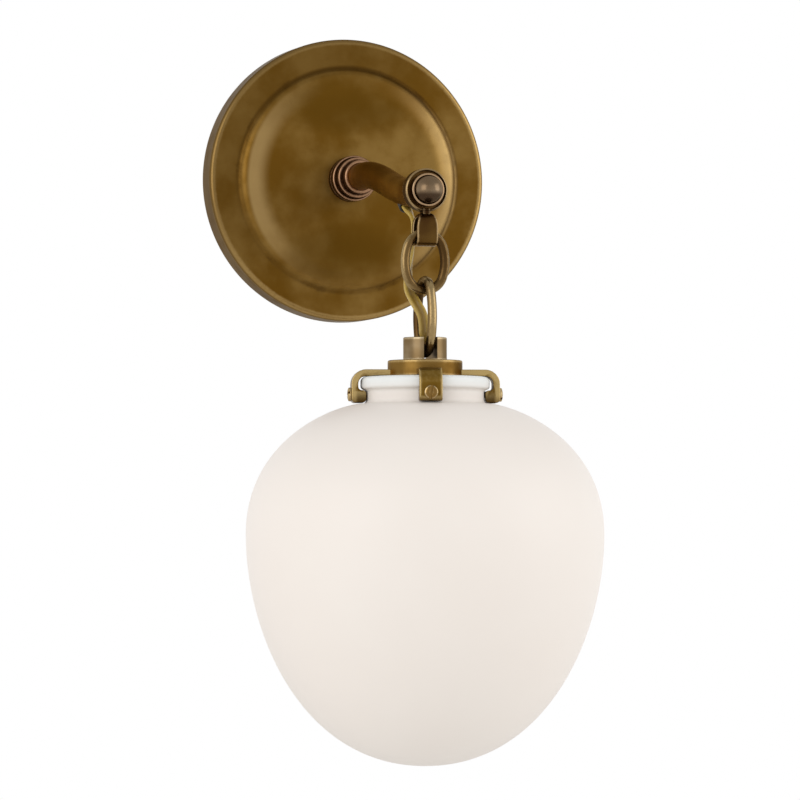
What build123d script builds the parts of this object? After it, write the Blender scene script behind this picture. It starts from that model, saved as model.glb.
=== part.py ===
from build123d import *
import os
from math import cos, pi, radians, sin, sqrt, tan

os.makedirs("parts", exist_ok=True)

# Hanging wall sconce: a round brass canopy, a cranked stem, a pivoting stirrup, two chain
# links and a swivelling shade holder with an opal glass shade.
# Frame: origin at the centre of the canopy's back, wall plane at Y = 0, room at -Y, +Z up.
# "Out" is a distance from the wall, so a place that is out by w has Y = -w.

# ---- driving dimensions, mm ----
running_fit = 0.05  # radial clearance of a shaft that turns or a screw in its hole
free_gap = 0.3  # clearance between pieces that are free of each other
link_gap = 0.15  # clearance where one link hangs on the next

# canopy and what fixes it to the wall
plate_dia = 133.4
rim_depth = 15.0
rim_round = 2.0
step_dia = 102.0
step_height = 4.0
step_round = 3.3
foot_round = 0.6
dome_height = 1.2
sheet = 1.2
box_screw_spacing = 88.9
box_slot_width = 5.0
box_slot_length = 12.0
bracket_width = 22.0
bracket_sheet = 1.8
ear_depth = 10.5
rim_screw_dia = 4.0
rim_screw_length = 6.0
rim_screw_out = 7.0
rim_screw_sunk = 0.1
rim_screw_slot_depth = 1.2
ground_screw_dia = 4.0
ground_screw_side = 6.5
ground_screw_up = 26.0
ground_head_height = 2.6
ground_slot_depth = 1.0

# stem and its collar
stem_dia = 12.7
stem_wall = 1.2
straight_out = 62.0
bend_radius = 40.0
bend_angle = 34.0
nipple_dia = 9.6
nipple_bore = 7.0
nipple_in_stem = 14.0
nipple_tail = 1.5
flange_dia = 21.4
flange_mid_dia = 19.0
flange_height = 8.5
flange_mid_height = 5.5
flange_round = 0.5
flange_groove_up = 3.4
flange_groove_width = 1.2
flange_groove_depth = 0.7
check_ring_dia = 15.8
check_ring_height = 6.0
check_ring_round = 0.6
nut_across = 14.0
nut_height = 4.0
nut_chamfer = 0.5
washer_dia = 18.0
washer_height = 1.2

# hub at the end of the stem
reach = 150.0
eye_dia = 19.6
eye_width = 6.6
spindle_dia = 12.0
eye_recess_dia = 18.2
eye_recess_depth = 2.0
end_play = 0.2
hub_flange_dia = 14.6
hub_flange_height = 2.5
hub_plug_length = 10.0
cup_washer_dia = 15.0
cup_washer_height = 4.4
cup_floor = 1.5
cup_washer_round = 0.4
ball_dia = 12.3
ball_proud = 0.4
stud_dia = 4.0
stud_length = 6.5

# stirrup and links
stirrup_width = 9.0
stirrup_sheet = 2.0
stirrup_inside = 6.0
stirrup_drop = 15.5
stirrup_bend = 2.0
shoulder_round = 4.0
neck_width = 4.4
neck_height = 1.1
wire_dia = 4.2
link_width = 22.8
upper_link_length = 29.9
lower_link_length = 37.0

# swivel cap, disk, arms and screws
cap_dia = 19.7
cap_above_pin = 3.35
slot_width = 5.2
slot_floor_gap = 0.6
cap_base = 0.6
cap_chamfer = 0.4
pin_dia = 3.0
pin_sunk = 0.1
pin_chamfer = 0.3
disk_dia = 33.8
disk_height = 7.2
disk_chamfer = 0.5
arm_count = 4
arm_turn = -11.0
arm_width = 10.3
arm_thick = 3.0
arm_root = 9.0
arm_span = 67.0
arm_bend = 6.5
arm_drop = 15.0
lug_height = 5.6
lug_tip_dia = 53.8
lug_round = 1.6
screw_up = 3.8
screw_dia = 3.0
screw_point_dia = 2.0
screw_head_dia = 6.2
screw_head_height = 1.6
screw_slot_width = 0.8
screw_slot_depth = 0.7

# glass shade
lip_dia = 58.3
lip_height = 5.2
lip_round = 2.2
lip_slope = 1.0
groove_round = 1.5
neck_wall = 2.6
globe_dia = 161.6
globe_height = 163.0
globe_wall = 3.0
shelf_dia = 60.0
shelf_drop = 12.2
shelf_round = 2.0
belly_drop = 58.7
shoulder_pull_out = 11.0
shoulder_pull_down = 0.8
shoulder_pull_up = 43.0
flank_pull_down = 44.0
tip_pull_out = 56.0

# lamp socket and lamp
cap_stud_dia = 6.0
cap_stud_length = 12.4
stud_nut_across = 9.0
stud_nut_height = 3.0
cup_dia = 33.0
cup_height = 16.0
cup_sheet = 1.0
cup_round = 1.5
socket_dia = 30.4
socket_length = 38.0
socket_head = 8.0
socket_round = 1.0
shell_dia = 26.6
shell_sheet = 0.5
shell_recess = 2.0
contact_dia = 9.0
contact_height = 2.0
contact_gap = 1.0
contact_chamfer = 0.6
lamp_base_dia = 25.4
lamp_base_length = 24.0
lamp_base_taper = 2.0
lamp_tip_height = 2.5
bulb_neck_dia = 22.6
lamp_dia = 32.0
lamp_length = 78.0
lamp_wall = 1.0

# supply cord: two cores side by side, 4.8 wide and 2.6 thick; its solid is one round tube
cord_tube = 3.0
cord_hole_width = 3.4
cord_hole_length = 5.4
cord_hole_side = 4.8
cord_hole_back = 4.8
bush_dia = 7.0
bush_bore = 5.2
bush_length = 3.2
bush_round = 0.4
bush_before_end = 26.0
bush_slope = 36.4

# ---- heights and places that follow from them ----
plate_r = plate_dia / 2
step_r = step_dia / 2
face_out = rim_depth + step_height + dome_height
flange_top = face_out + flange_height + flange_mid_height
collar_top = flange_top + check_ring_height
hub_z = -2 * bend_radius * (1 - cos(radians(bend_angle)))
bend_end = straight_out + 2 * bend_radius * sin(radians(bend_angle))
eye_back = reach - eye_width / 2
eye_front = reach + eye_width / 2
spindle_end = eye_front - eye_recess_depth + end_play
hub_flange_front = eye_back - end_play
stem_end = hub_flange_front - hub_flange_height
bush_out = stem_end - bush_before_end
cup_rim = spindle_end + cup_washer_height
ball_out = cup_rim + ball_proud
cup_floor_out = spindle_end + cup_floor

wire_r = wire_dia / 2
bow_r = (link_width - wire_dia) / 2
stirrup_top = hub_z - eye_dia / 2 - neck_height
stirrup_bottom = stirrup_top - stirrup_drop + neck_height
stirrup_floor = stirrup_bottom + stirrup_sheet
# the upper link's bow bears on the two edges of the stirrup's floor
bow_fall = bow_r - sqrt((bow_r - wire_r) ** 2 - (stirrup_width / 2) ** 2)
upper_top = stirrup_floor + link_gap + bow_fall
upper_pivot = upper_top - bow_r + sqrt(bow_r**2 - (stirrup_width / 2) ** 2)
upper_bottom = upper_top - upper_link_length + wire_dia
lower_top = upper_bottom + wire_dia + link_gap
lower_bottom = lower_top - lower_link_length + wire_dia
pin_z = lower_bottom + wire_r + link_gap + pin_dia / 2
cap_top = pin_z + cap_above_pin
slot_floor = lower_bottom - wire_r - slot_floor_gap
cap_bottom = slot_floor - cap_base
disk_bottom = cap_bottom - disk_height
arm_bottom = disk_bottom + arm_thick - arm_drop
lug_top = arm_bottom + lug_height
screw_z = arm_bottom + screw_up
lip_top = disk_bottom - free_gap
groove_r = lug_tip_dia / 2 - free_gap
shelf_z = lip_top - shelf_drop
globe_bottom = shelf_z - globe_height
cup_top = disk_bottom
socket_top = cup_top - cup_sheet
socket_bottom = socket_top - socket_length
shell_top = socket_top - socket_head
lamp_top = shell_top - shell_sheet - contact_height

y_axis = Axis((0, 0, 0), (0, 1, 0))
hub_axis = Axis((0, 0, hub_z), (0, 1, 0))
drop_axis = Axis((0, -reach, 0), (0, 0, 1))
hub_plane = Plane.XY.offset(hub_z)
drop_plane = Plane((0, -reach, 0), x_dir=(1, 0, 0), z_dir=(0, -1, 0))


def save(part, name):
    """Label one finished sub-part and write its STEP file."""
    part.label = name
    export_step(part, f"parts/{name}.step")


def washer_shape(name, plane, axis, inner_r, outer_r, back, front, edge=0.0):
    """A turned ring from back to front out of the wall, with its outer front edge rounded."""
    with BuildPart() as ring:
        with BuildSketch(plane):
            with BuildLine():
                Polyline((inner_r, -back), (outer_r, -back), (outer_r, -front), (inner_r, -front), close=True)
            make_face()
        revolve(axis=axis)
        if edge:
            front_edges = ring.edges().filter_by(GeomType.CIRCLE).group_by(Axis.Y)[0]
            fillet(front_edges.sort_by(SortBy.RADIUS)[-1], edge)
    save(ring.part, name)


# ---- canopy: a pressed brass plate, hollow towards the wall ----
def canopy_section(inset):
    """Half section of the plate, drawn inside its outer surface by inset."""
    r, s, depth = plate_r - inset, step_r - inset, rim_depth - inset
    top, crown = depth + step_height, depth + step_height + dome_height
    with BuildSketch() as section:
        with BuildLine():
            Polyline((0, 0), (r, 0), (r, -depth), (s, -depth), (s, -top))
            ThreePointArc((s, -top), (s / 2, -top - 0.75 * dome_height), (0, -crown))
            Line((0, -crown), (0, 0))
        make_face()
        for corner, radius in (
            ((r, -depth), rim_round - inset),
            ((s, -depth), foot_round + inset),
            ((s, -top), step_round - inset),
        ):
            fillet(section.vertices().sort_by_distance(corner)[0], radius)
    return section.sketch


with BuildPart() as canopy:
    add(canopy_section(0))
    revolve(axis=y_axis)
    add(canopy_section(sheet))
    revolve(axis=y_axis, mode=Mode.SUBTRACT)
    with BuildSketch(Plane.XZ):
        Circle(nipple_dia / 2 + running_fit)
    extrude(amount=2 * face_out, mode=Mode.SUBTRACT)
    # one hole at the top and one at the bottom of the rim, for the set screws
    with BuildSketch(Plane.XY):
        with Locations((0, -rim_screw_out)):
            Circle(rim_screw_dia / 2 + running_fit)
    extrude(amount=plate_dia, both=True, mode=Mode.SUBTRACT)
save(canopy.part, "canopy_plate")

# ---- wall bracket: a strap across the junction box, its ends bent forward as ears ----
ear_top = sqrt((plate_r - sheet) ** 2 - (bracket_width / 2) ** 2) - free_gap
with BuildPart() as bracket:
    with BuildSketch(Plane.YZ):
        with BuildLine():
            FilletPolyline(
                (-ear_depth, ear_top - bracket_sheet / 2),
                (-bracket_sheet / 2, ear_top - bracket_sheet / 2),
                (-bracket_sheet / 2, bracket_sheet / 2 - ear_top),
                (-ear_depth, bracket_sheet / 2 - ear_top),
                radius=1.5 * bracket_sheet,
            )
            offset(amount=bracket_sheet / 2, kind=Kind.INTERSECTION, side=Side.BOTH)
        make_face()
    extrude(amount=bracket_width / 2, both=True)
    with BuildSketch(Plane.XZ):
        Circle(nipple_dia / 2 + running_fit)
        with GridLocations(0, box_screw_spacing, 1, 2):
            SlotOverall(box_slot_length, box_slot_width, rotation=90)
        with Locations((ground_screw_side, ground_screw_up)):
            Circle(ground_screw_dia / 2 + running_fit)
    extrude(amount=2 * bracket_sheet, both=True, mode=Mode.SUBTRACT)
    with BuildSketch(Plane.XY):
        with Locations((0, -rim_screw_out)):
            Circle(rim_screw_dia / 2 + running_fit)
    extrude(amount=plate_dia, both=True, mode=Mode.SUBTRACT)
save(bracket.part, "wall_bracket")

# ---- two grub screws through the rim into the bracket's ears, and the earth screw ----
with BuildPart() as rim_screws:
    for side in (1, -1):
        top = Plane((0, -rim_screw_out, side * (plate_r - rim_screw_sunk)), z_dir=(0, 0, -side))
        with BuildSketch(top):
            Circle(rim_screw_dia / 2)
        extrude(amount=rim_screw_length)
        with BuildSketch(top):
            Rectangle(2 * rim_screw_dia, screw_slot_width)
        extrude(amount=rim_screw_slot_depth, mode=Mode.SUBTRACT)
save(rim_screws.part, "canopy_set_screws")

with BuildPart() as ground:
    with BuildSketch(Plane.XZ):
        with Locations((ground_screw_side, ground_screw_up)):
            Circle(ground_screw_dia / 2)
    extrude(amount=bracket_sheet)
    with BuildSketch(Plane.XZ.offset(bracket_sheet)):
        with Locations((ground_screw_side, ground_screw_up)):
            RegularPolygon(ground_screw_dia, 6)
    extrude(amount=ground_head_height)
    with BuildSketch(Plane.XZ.offset(bracket_sheet + ground_head_height)):
        with Locations((ground_screw_side, ground_screw_up)):
            Rectangle(3 * ground_screw_dia, screw_slot_width)
    extrude(amount=-ground_slot_depth, mode=Mode.SUBTRACT)
save(ground.part, "ground_screw")

# ---- nipple, nut and washer that hold the stem to the canopy and the bracket ----
# the washer's edge meets the inside of the dome, which falls away with the radius squared
dome_fall = dome_height * (washer_dia / (step_dia - 2 * sheet)) ** 2
plate_inside = face_out - sheet - dome_fall
nipple_back = plate_inside - washer_height - nut_height - nipple_tail
washer_shape(
    "stem_nipple", Plane.XY, y_axis, nipple_bore / 2, nipple_dia / 2, nipple_back,
    collar_top - check_ring_height + nipple_in_stem,
)
washer_shape(
    "lock_washer", Plane.XY, y_axis, nipple_dia / 2 + running_fit, washer_dia / 2,
    plate_inside - washer_height, plate_inside,
)
with BuildPart() as nut:
    with BuildSketch(Plane.XZ.offset(plate_inside - washer_height)):
        RegularPolygon(nut_across / 2, 6, major_radius=False)
        Circle(nipple_dia / 2 + running_fit, mode=Mode.SUBTRACT)
    extrude(amount=-nut_height)
    chamfer(nut.faces().sort_by(Axis.Y)[-1].outer_wire().edges(), nut_chamfer)
save(nut.part, "nipple_nut")

# ---- collar: a two-step flange on the canopy and a check ring round the stem's end ----
with BuildPart() as flange:
    low, mid = face_out + flange_height, flange_top
    with BuildSketch(Plane.XY) as section:
        with BuildLine():
            Polyline(
                (nipple_dia / 2 + running_fit, -face_out), (flange_dia / 2, -face_out),
                (flange_dia / 2, -low), (flange_mid_dia / 2, -low), (flange_mid_dia / 2, -mid),
                (nipple_dia / 2 + running_fit, -mid), close=True,
            )
        make_face()
        for corner in ((flange_dia / 2, -low), (flange_mid_dia / 2, -mid)):
            fillet(section.vertices().sort_by_distance(corner)[0], flange_round)
        # a shallow V groove round the lower step
        groove_out = face_out + flange_groove_up + flange_groove_width / 2
        with BuildLine():
            Polyline(
                (flange_dia / 2, -groove_out + flange_groove_width / 2),
                (flange_dia / 2, -groove_out - flange_groove_width / 2),
                (flange_dia / 2 - flange_groove_depth, -groove_out), close=True,
            )
        make_face(mode=Mode.SUBTRACT)
    revolve(axis=y_axis)
save(flange.part, "stem_flange")
washer_shape(
    "stem_check_ring", Plane.XY, y_axis, stem_dia / 2 + running_fit, check_ring_dia / 2,
    flange_top, collar_top, edge=check_ring_round,
)

# ---- stem: a tube with an S-bend, and a slanted hole for the cord on its underside ----
with BuildLine(Plane.YZ) as stem_line:
    Line((-flange_top, 0), (-straight_out, 0))
    JernArc(start=stem_line.line @ 1, tangent=(-1, 0), radius=bend_radius, arc_size=bend_angle)
    down = (-cos(radians(bend_angle)), -sin(radians(bend_angle)))
    crank = (-straight_out - bend_radius * sin(radians(bend_angle)), hub_z / 2)
    JernArc(start=crank, tangent=down, radius=bend_radius, arc_size=-bend_angle)
    Line((-bend_end, hub_z), (-stem_end, hub_z))

stem_bore = stem_dia / 2 - stem_wall
stem_start = Plane((0, -flange_top, 0), x_dir=(1, 0, 0), z_dir=(0, -1, 0))
bush_dir = Vector(0, -cos(radians(bush_slope)), -sin(radians(bush_slope)))
bush_mid = Vector(0, -bush_out, hub_z - stem_dia / 2 + stem_wall / 2)
bush_plane = Plane(bush_mid - bush_dir * bush_length / 2, x_dir=(1, 0, 0), z_dir=bush_dir)
with BuildPart() as stem:
    with BuildSketch(stem_start):
        Circle(stem_dia / 2)
        Circle(stem_bore, mode=Mode.SUBTRACT)
    sweep(path=stem_line.line)
    with BuildSketch(bush_plane):
        Circle(bush_dia / 2 + running_fit)
    extrude(amount=bush_length + stem_dia / 4, both=True, mode=Mode.SUBTRACT)
save(stem.part, "stem_tube")

with BuildPart() as bush:
    with BuildSketch(bush_plane):
        Circle(bush_dia / 2)
        Circle(bush_bore / 2, mode=Mode.SUBTRACT)
    extrude(amount=bush_length)
    mouth = bush.faces().filter_by(GeomType.PLANE).sort_by(Axis.Z)[0]
    fillet(mouth.outer_wire().edges(), bush_round)
save(bush.part, "stem_cord_bush")

# ---- hub: a turned plug in the stem's end, a cup washer and a ball nut on its stud ----
with BuildPart() as spindle:
    with BuildSketch(hub_plane):
        plug_r, flange_r = stem_bore - running_fit, hub_flange_dia / 2
        with BuildLine():
            Polyline(
                (0, hub_plug_length - stem_end), (plug_r, hub_plug_length - stem_end),
                (plug_r, -stem_end), (flange_r, -stem_end),
                (flange_r, -hub_flange_front), (spindle_dia / 2, -hub_flange_front),
                (spindle_dia / 2, -spindle_end), (stud_dia / 2, -spindle_end),
                (stud_dia / 2, -spindle_end - stud_length), (0, -spindle_end - stud_length),
                close=True,
            )
        make_face()
    revolve(axis=hub_axis)
save(spindle.part, "hub_spindle")

with BuildPart() as cup_washer:
    with BuildSketch(hub_plane):
        with BuildLine():
            Polyline(
                (stud_dia / 2 + running_fit, -spindle_end), (cup_washer_dia / 2, -spindle_end),
                (cup_washer_dia / 2, -cup_rim), (stud_dia / 2 + running_fit, -cup_rim),
                close=True,
            )
        make_face()
    revolve(axis=hub_axis)
    rim = cup_washer.edges().filter_by(GeomType.CIRCLE).sort_by(SortBy.RADIUS)[-1]
    fillet(rim, cup_washer_round)
    with BuildSketch(hub_plane):
        with Locations((0, -ball_out)):
            Circle(ball_dia / 2 + free_gap)
        with Locations((0, -cup_floor_out)):
            Rectangle(2 * ball_dia, ball_dia, align=(Align.CENTER, Align.MIN), mode=Mode.SUBTRACT)
        Rectangle(2 * ball_dia, 4 * reach, align=(Align.MAX, Align.CENTER), mode=Mode.SUBTRACT)
    revolve(axis=hub_axis, mode=Mode.SUBTRACT)
save(cup_washer.part, "hub_cup_washer")

with BuildPart() as ball:
    with BuildSketch(hub_plane):
        with Locations((0, -ball_out)):
            Circle(ball_dia / 2)
        with Locations((0, -cup_floor_out)):
            Rectangle(2 * ball_dia, ball_dia, align=(Align.CENTER, Align.MIN), mode=Mode.SUBTRACT)
        Rectangle(2 * ball_dia, 4 * reach, align=(Align.MAX, Align.CENTER), mode=Mode.SUBTRACT)
        Rectangle(
            stud_dia + 2 * running_fit, 2 * (spindle_end + stud_length + free_gap), mode=Mode.SUBTRACT
        )
    revolve(axis=hub_axis)
save(ball.part, "ball_nut")

# ---- stirrup: an eye on the hub spindle and a flat strap loop below it ----
loop_width = stirrup_inside + 2 * stirrup_sheet
loop_height = stirrup_top - stirrup_bottom
loop_mid = (stirrup_top + stirrup_bottom) / 2
with BuildPart() as stirrup:
    with BuildSketch(Plane.YZ):
        with Locations((-reach, loop_mid)):
            RectangleRounded(loop_width, loop_height, stirrup_bend + stirrup_sheet)
            RectangleRounded(
                stirrup_inside, loop_height - 2 * stirrup_sheet, stirrup_bend, mode=Mode.SUBTRACT
            )
    extrude(amount=stirrup_width / 2, both=True)
    # seen from the front the strap is round-shouldered up to its neck
    with BuildSketch(Plane.XZ.offset(reach - loop_width)) as front:
        half, neck, eighth = stirrup_width / 2, neck_width / 2, sin(radians(45))
        shoulder = stirrup_top - shoulder_round
        with BuildLine():
            Line((0, stirrup_top), (neck, stirrup_top))
            ThreePointArc(
                (neck, stirrup_top),
                (neck + (half - neck) * eighth, shoulder + shoulder_round * eighth),
                (half, shoulder),
            )
            Polyline((half, shoulder), (half, stirrup_bottom), (0, stirrup_bottom))
            mirror(about=Plane.YZ)
        make_face()
    extrude(amount=2 * loop_width, mode=Mode.INTERSECT)
    with BuildSketch(Plane.XZ.offset(eye_back)):
        with Locations((0, (hub_z + stirrup_top) / 2)):
            Rectangle(neck_width, hub_z - stirrup_top)
        with Locations((0, hub_z)):
            Circle(eye_dia / 2)
    extrude(amount=eye_width)
    with BuildSketch(Plane.XZ):
        with Locations((0, hub_z)):
            Circle(spindle_dia / 2 + running_fit)
    extrude(amount=2 * reach, mode=Mode.SUBTRACT)
    with BuildSketch(Plane.XZ.offset(eye_front - eye_recess_depth)):
        with Locations((0, hub_z)):
            Circle(eye_recess_dia / 2)
    extrude(amount=reach, mode=Mode.SUBTRACT)
save(stirrup.part, "hanger_stirrup")


# ---- two oval links of round wire, turned a quarter to each other ----
def link_shape(name, plane, length):
    """An oval link of round wire round the plane's origin, its long side along the plane's y."""
    straight = length - link_width
    with BuildPart() as link:
        with BuildLine(plane) as oval:
            Line((bow_r, -straight / 2), (bow_r, straight / 2))
            CenterArc((0, straight / 2), bow_r, 0, 180)
            Line((-bow_r, straight / 2), (-bow_r, -straight / 2))
            CenterArc((0, -straight / 2), bow_r, 180, 180)
        with BuildSketch(Plane(oval.line @ 0, z_dir=oval.line % 0)):
            Circle(wire_r)
        sweep(path=oval.line)
    save(link.part, name)


upper_mid = (0, -reach, (upper_top + upper_bottom) / 2)
lower_mid = (0, -reach, (lower_top + lower_bottom) / 2)
link_shape("upper_link", Plane(upper_mid, x_dir=(1, 0, 0), z_dir=(0, -1, 0)), upper_link_length)
link_shape("lower_link", Plane(lower_mid, x_dir=(0, 1, 0), z_dir=(1, 0, 0)), lower_link_length)

# ---- swivel cap: a turned block, slotted for the lower link, with its cross pin ----
with BuildPart() as cap:
    with BuildSketch(Plane.XY.offset(cap_bottom)):
        with Locations((0, -reach)):
            Circle(cap_dia / 2)
    extrude(amount=cap_top - cap_bottom)
    chamfer(cap.faces().sort_by(Axis.Z)[-1].outer_wire().edges(), cap_chamfer)
    with BuildSketch(Plane.XY.offset(cap_bottom - cap_stud_length)):
        with Locations((0, -reach)):
            Circle(cap_stud_dia / 2)
    extrude(amount=cap_stud_length)
    with BuildSketch(Plane.XY.offset(slot_floor)):
        with Locations((0, -reach)):
            Rectangle(slot_width, 2 * cap_dia)
    extrude(amount=cap_dia, mode=Mode.SUBTRACT)
    with BuildSketch(Plane.XY.offset(cap_bottom)):
        with Locations((cord_hole_side, cord_hole_back - reach)):
            SlotOverall(cord_hole_length, cord_hole_width, rotation=90)
    extrude(amount=cap_dia, mode=Mode.SUBTRACT)
    with BuildSketch(Plane.YZ):
        with Locations((-reach, pin_z)):
            Circle(pin_dia / 2 + running_fit)
    extrude(amount=cap_dia, both=True, mode=Mode.SUBTRACT)
save(cap.part, "swivel_cap")

with BuildPart() as pin:
    with BuildSketch(Plane.YZ):
        with Locations((-reach, pin_z)):
            Circle(pin_dia / 2)
    extrude(amount=cap_dia / 2 - pin_sunk, both=True)
    chamfer(pin.edges().filter_by(GeomType.CIRCLE), pin_chamfer)
save(pin.part, "cross_pin")

# ---- holder disk with four slots, and an arm soldered into each ----
arm_top = disk_bottom + arm_thick
arm_angles = [arm_turn + 360 / arm_count * i for i in range(arm_count)]


def arm_plane(angle):
    """The upright plane through the drop axis and one arm, its x pointing out along the arm."""
    away = (sin(radians(angle)), -cos(radians(angle)), 0)
    across = (cos(radians(angle)), sin(radians(angle)), 0)
    return Plane((0, -reach, 0), x_dir=away, z_dir=(-across[0], -across[1], 0))


arm_reach = arm_span / 2
lug_in = lug_tip_dia / 2
leg_inside = arm_reach - arm_thick
with BuildPart() as disk:
    with BuildSketch(Plane.XY.offset(disk_bottom)):
        with Locations((0, -reach)):
            Circle(disk_dia / 2)
    extrude(amount=disk_height)
    chamfer(disk.faces().sort_by(Axis.Z)[-1].outer_wire().edges(), disk_chamfer)
    for angle in arm_angles:
        with BuildSketch(Plane((0, -reach, disk_bottom), x_dir=arm_plane(angle).x_dir)):
            with Locations((arm_root, 0)):
                Rectangle(disk_dia, arm_width, align=(Align.MIN, Align.CENTER))
        extrude(amount=arm_thick, mode=Mode.SUBTRACT)
    with BuildSketch(Plane.XY.offset(disk_bottom)):
        with Locations((0, -reach)):
            Circle(cap_stud_dia / 2 + running_fit)
        with Locations((cord_hole_side, cord_hole_back - reach)):
            SlotOverall(cord_hole_length, cord_hole_width, rotation=90)
    extrude(amount=disk_height, mode=Mode.SUBTRACT)
save(disk.part, "holder_disk")

for number, angle in enumerate(arm_angles, start=1):
    with BuildPart() as arm:
        with BuildSketch(arm_plane(angle)) as profile:
            with BuildLine():
                Polyline(
                    (arm_root, arm_top), (arm_reach, arm_top), (arm_reach, arm_bottom),
                    (lug_in, arm_bottom), (lug_in, lug_top), (leg_inside, lug_top),
                    (leg_inside, disk_bottom), (arm_root, disk_bottom), close=True,
                )
            make_face()
            for corner, radius in (
                ((arm_reach, arm_top), arm_bend),
                ((leg_inside, disk_bottom), arm_bend - arm_thick),
                ((arm_reach, arm_bottom), lug_round),
                ((lug_in, arm_bottom), lug_round),
                ((lug_in, lug_top), lug_round),
                ((leg_inside, lug_top), lug_round),
            ):
                fillet(profile.vertices().sort_by_distance(corner)[0], radius)
        extrude(amount=arm_width / 2, both=True)
        with BuildSketch(Plane((0, -reach, screw_z), x_dir=(0, 0, 1), z_dir=arm_plane(angle).x_dir)):
            Circle(screw_dia / 2 + running_fit)
        extrude(amount=2 * arm_reach, mode=Mode.SUBTRACT)
    save(arm.part, f"holder_arm_{number}")

# ---- one slotted grip screw through each arm, its narrow point on the glass neck ----
with BuildPart() as screws:
    for angle in arm_angles:
        away = arm_plane(angle).x_dir
        seat = Vector(0, -reach, screw_z) + away * arm_reach
        with BuildSketch(Plane(seat, x_dir=(0, 0, 1), z_dir=away)):
            Circle(screw_head_dia / 2)
        extrude(amount=screw_head_height)
        with BuildSketch(Plane(seat, x_dir=(0, 0, 1), z_dir=away)):
            Circle(screw_dia / 2)
        extrude(amount=lug_in - arm_reach)
        with BuildSketch(Plane(seat, x_dir=(0, 0, 1), z_dir=away)):
            Circle(screw_point_dia / 2)
        extrude(amount=groove_r + running_fit - arm_reach)
        with BuildSketch(Plane(seat + away * screw_head_height, x_dir=(0, 0, 1), z_dir=away)):
            Rectangle(2 * screw_head_dia, screw_slot_width)
        extrude(amount=-screw_slot_depth, mode=Mode.SUBTRACT)
save(screws.part, "grip_screws")

# ---- opal glass shade: a rounded lip, a straight neck, a shelf and an acorn-shaped globe ----
belly_z = shelf_z - belly_drop


def globe_section(inset):
    """Half section of the shade, drawn inside its outer surface by inset at the globe.

    The globe is one curve from the shelf out to the belly and one from there in to the tip.
    """
    wall = neck_wall if inset else 0
    neck, lip = groove_r - wall, (groove_r - wall if inset else lip_dia / 2)
    top = lip_top + inset
    lip_low, groove_top = lip_top - lip_height, lip_top - lip_height - lip_slope
    shelf, tip = shelf_z - inset, globe_bottom + inset
    shelf_r, wide = shelf_dia / 2, globe_dia / 2 - inset
    with BuildSketch(drop_plane) as section:
        with BuildLine():
            Polyline((0, top), (lip, top), (lip, lip_low), (neck, groove_top), (neck, shelf))
            Line((neck, shelf), (shelf_r, shelf))
            Bezier(
                (shelf_r, shelf), (shelf_r + shoulder_pull_out, shelf - shoulder_pull_down),
                (wide, belly_z + shoulder_pull_up), (wide, belly_z),
            )
            Bezier((wide, belly_z), (wide, belly_z - flank_pull_down), (tip_pull_out - inset, tip), (0, tip))
            Line((0, tip), (0, top))
        make_face()
        fillet(section.vertices().sort_by_distance((neck, shelf))[0], shelf_round)
        if not inset:
            for corner, radius in (
                ((lip, top), lip_round), ((lip, lip_low), groove_round), ((neck, groove_top), groove_round),
            ):
                fillet(section.vertices().sort_by_distance(corner)[0], radius)
    return section.sketch


with BuildPart() as shade:
    add(globe_section(0))
    revolve(axis=drop_axis)
    add(globe_section(globe_wall))
    revolve(axis=drop_axis, mode=Mode.SUBTRACT)
save(shade.part, "glass_shade")

# ---- lamp socket under the disk: brass cup, lock nut, porcelain body, screw shell, contact ----
with BuildPart() as cup:
    with BuildSketch(Plane.XY.offset(cup_top - cup_height)):
        with Locations((0, -reach)):
            Circle(cup_dia / 2)
    extrude(amount=cup_height)
    fillet(cup.faces().sort_by(Axis.Z)[-1].outer_wire().edges(), cup_round)
    offset(amount=-cup_sheet, openings=cup.faces().sort_by(Axis.Z)[0])
    with BuildSketch(Plane.XY.offset(cup_top)):
        with Locations((0, -reach)):
            Circle(cap_stud_dia / 2 + running_fit)
        with Locations((cord_hole_side, cord_hole_back - reach)):
            SlotOverall(cord_hole_length, cord_hole_width, rotation=90)
    extrude(amount=-cup_height / 2, mode=Mode.SUBTRACT)
save(cup.part, "socket_cup")

with BuildPart() as stud_nut:
    with BuildSketch(Plane.XY.offset(cup_top - cup_sheet)):
        with Locations((0, -reach)):
            RegularPolygon(stud_nut_across / 2, 6, major_radius=False, rotation=15)
            Circle(cap_stud_dia / 2 + running_fit, mode=Mode.SUBTRACT)
    extrude(amount=-stud_nut_height)
save(stud_nut.part, "socket_nut")

# the porcelain bears on the roof of its cup, with a recess for the nut and the stud's end
shell_r = shell_dia / 2
nut_recess = cap_stud_length - disk_height - cup_sheet + free_gap
with BuildPart() as socket:
    with BuildSketch(drop_plane):
        with BuildLine():
            Polyline(
                (0, socket_top), (socket_dia / 2, socket_top), (socket_dia / 2, socket_bottom),
                (shell_r + running_fit, socket_bottom), (shell_r + running_fit, shell_top),
                (0, shell_top), close=True,
            )
        make_face()
    revolve(axis=drop_axis)
    with BuildSketch(Plane.XY.offset(socket_top)):
        with Locations((0, -reach)):
            Circle(stud_nut_across / sqrt(3) + free_gap)
    extrude(amount=-nut_recess, mode=Mode.SUBTRACT)
    fillet(socket.faces().sort_by(Axis.Z)[-1].outer_wire().edges(), cup_round + socket_round)
save(socket.part, "socket_body")

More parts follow.
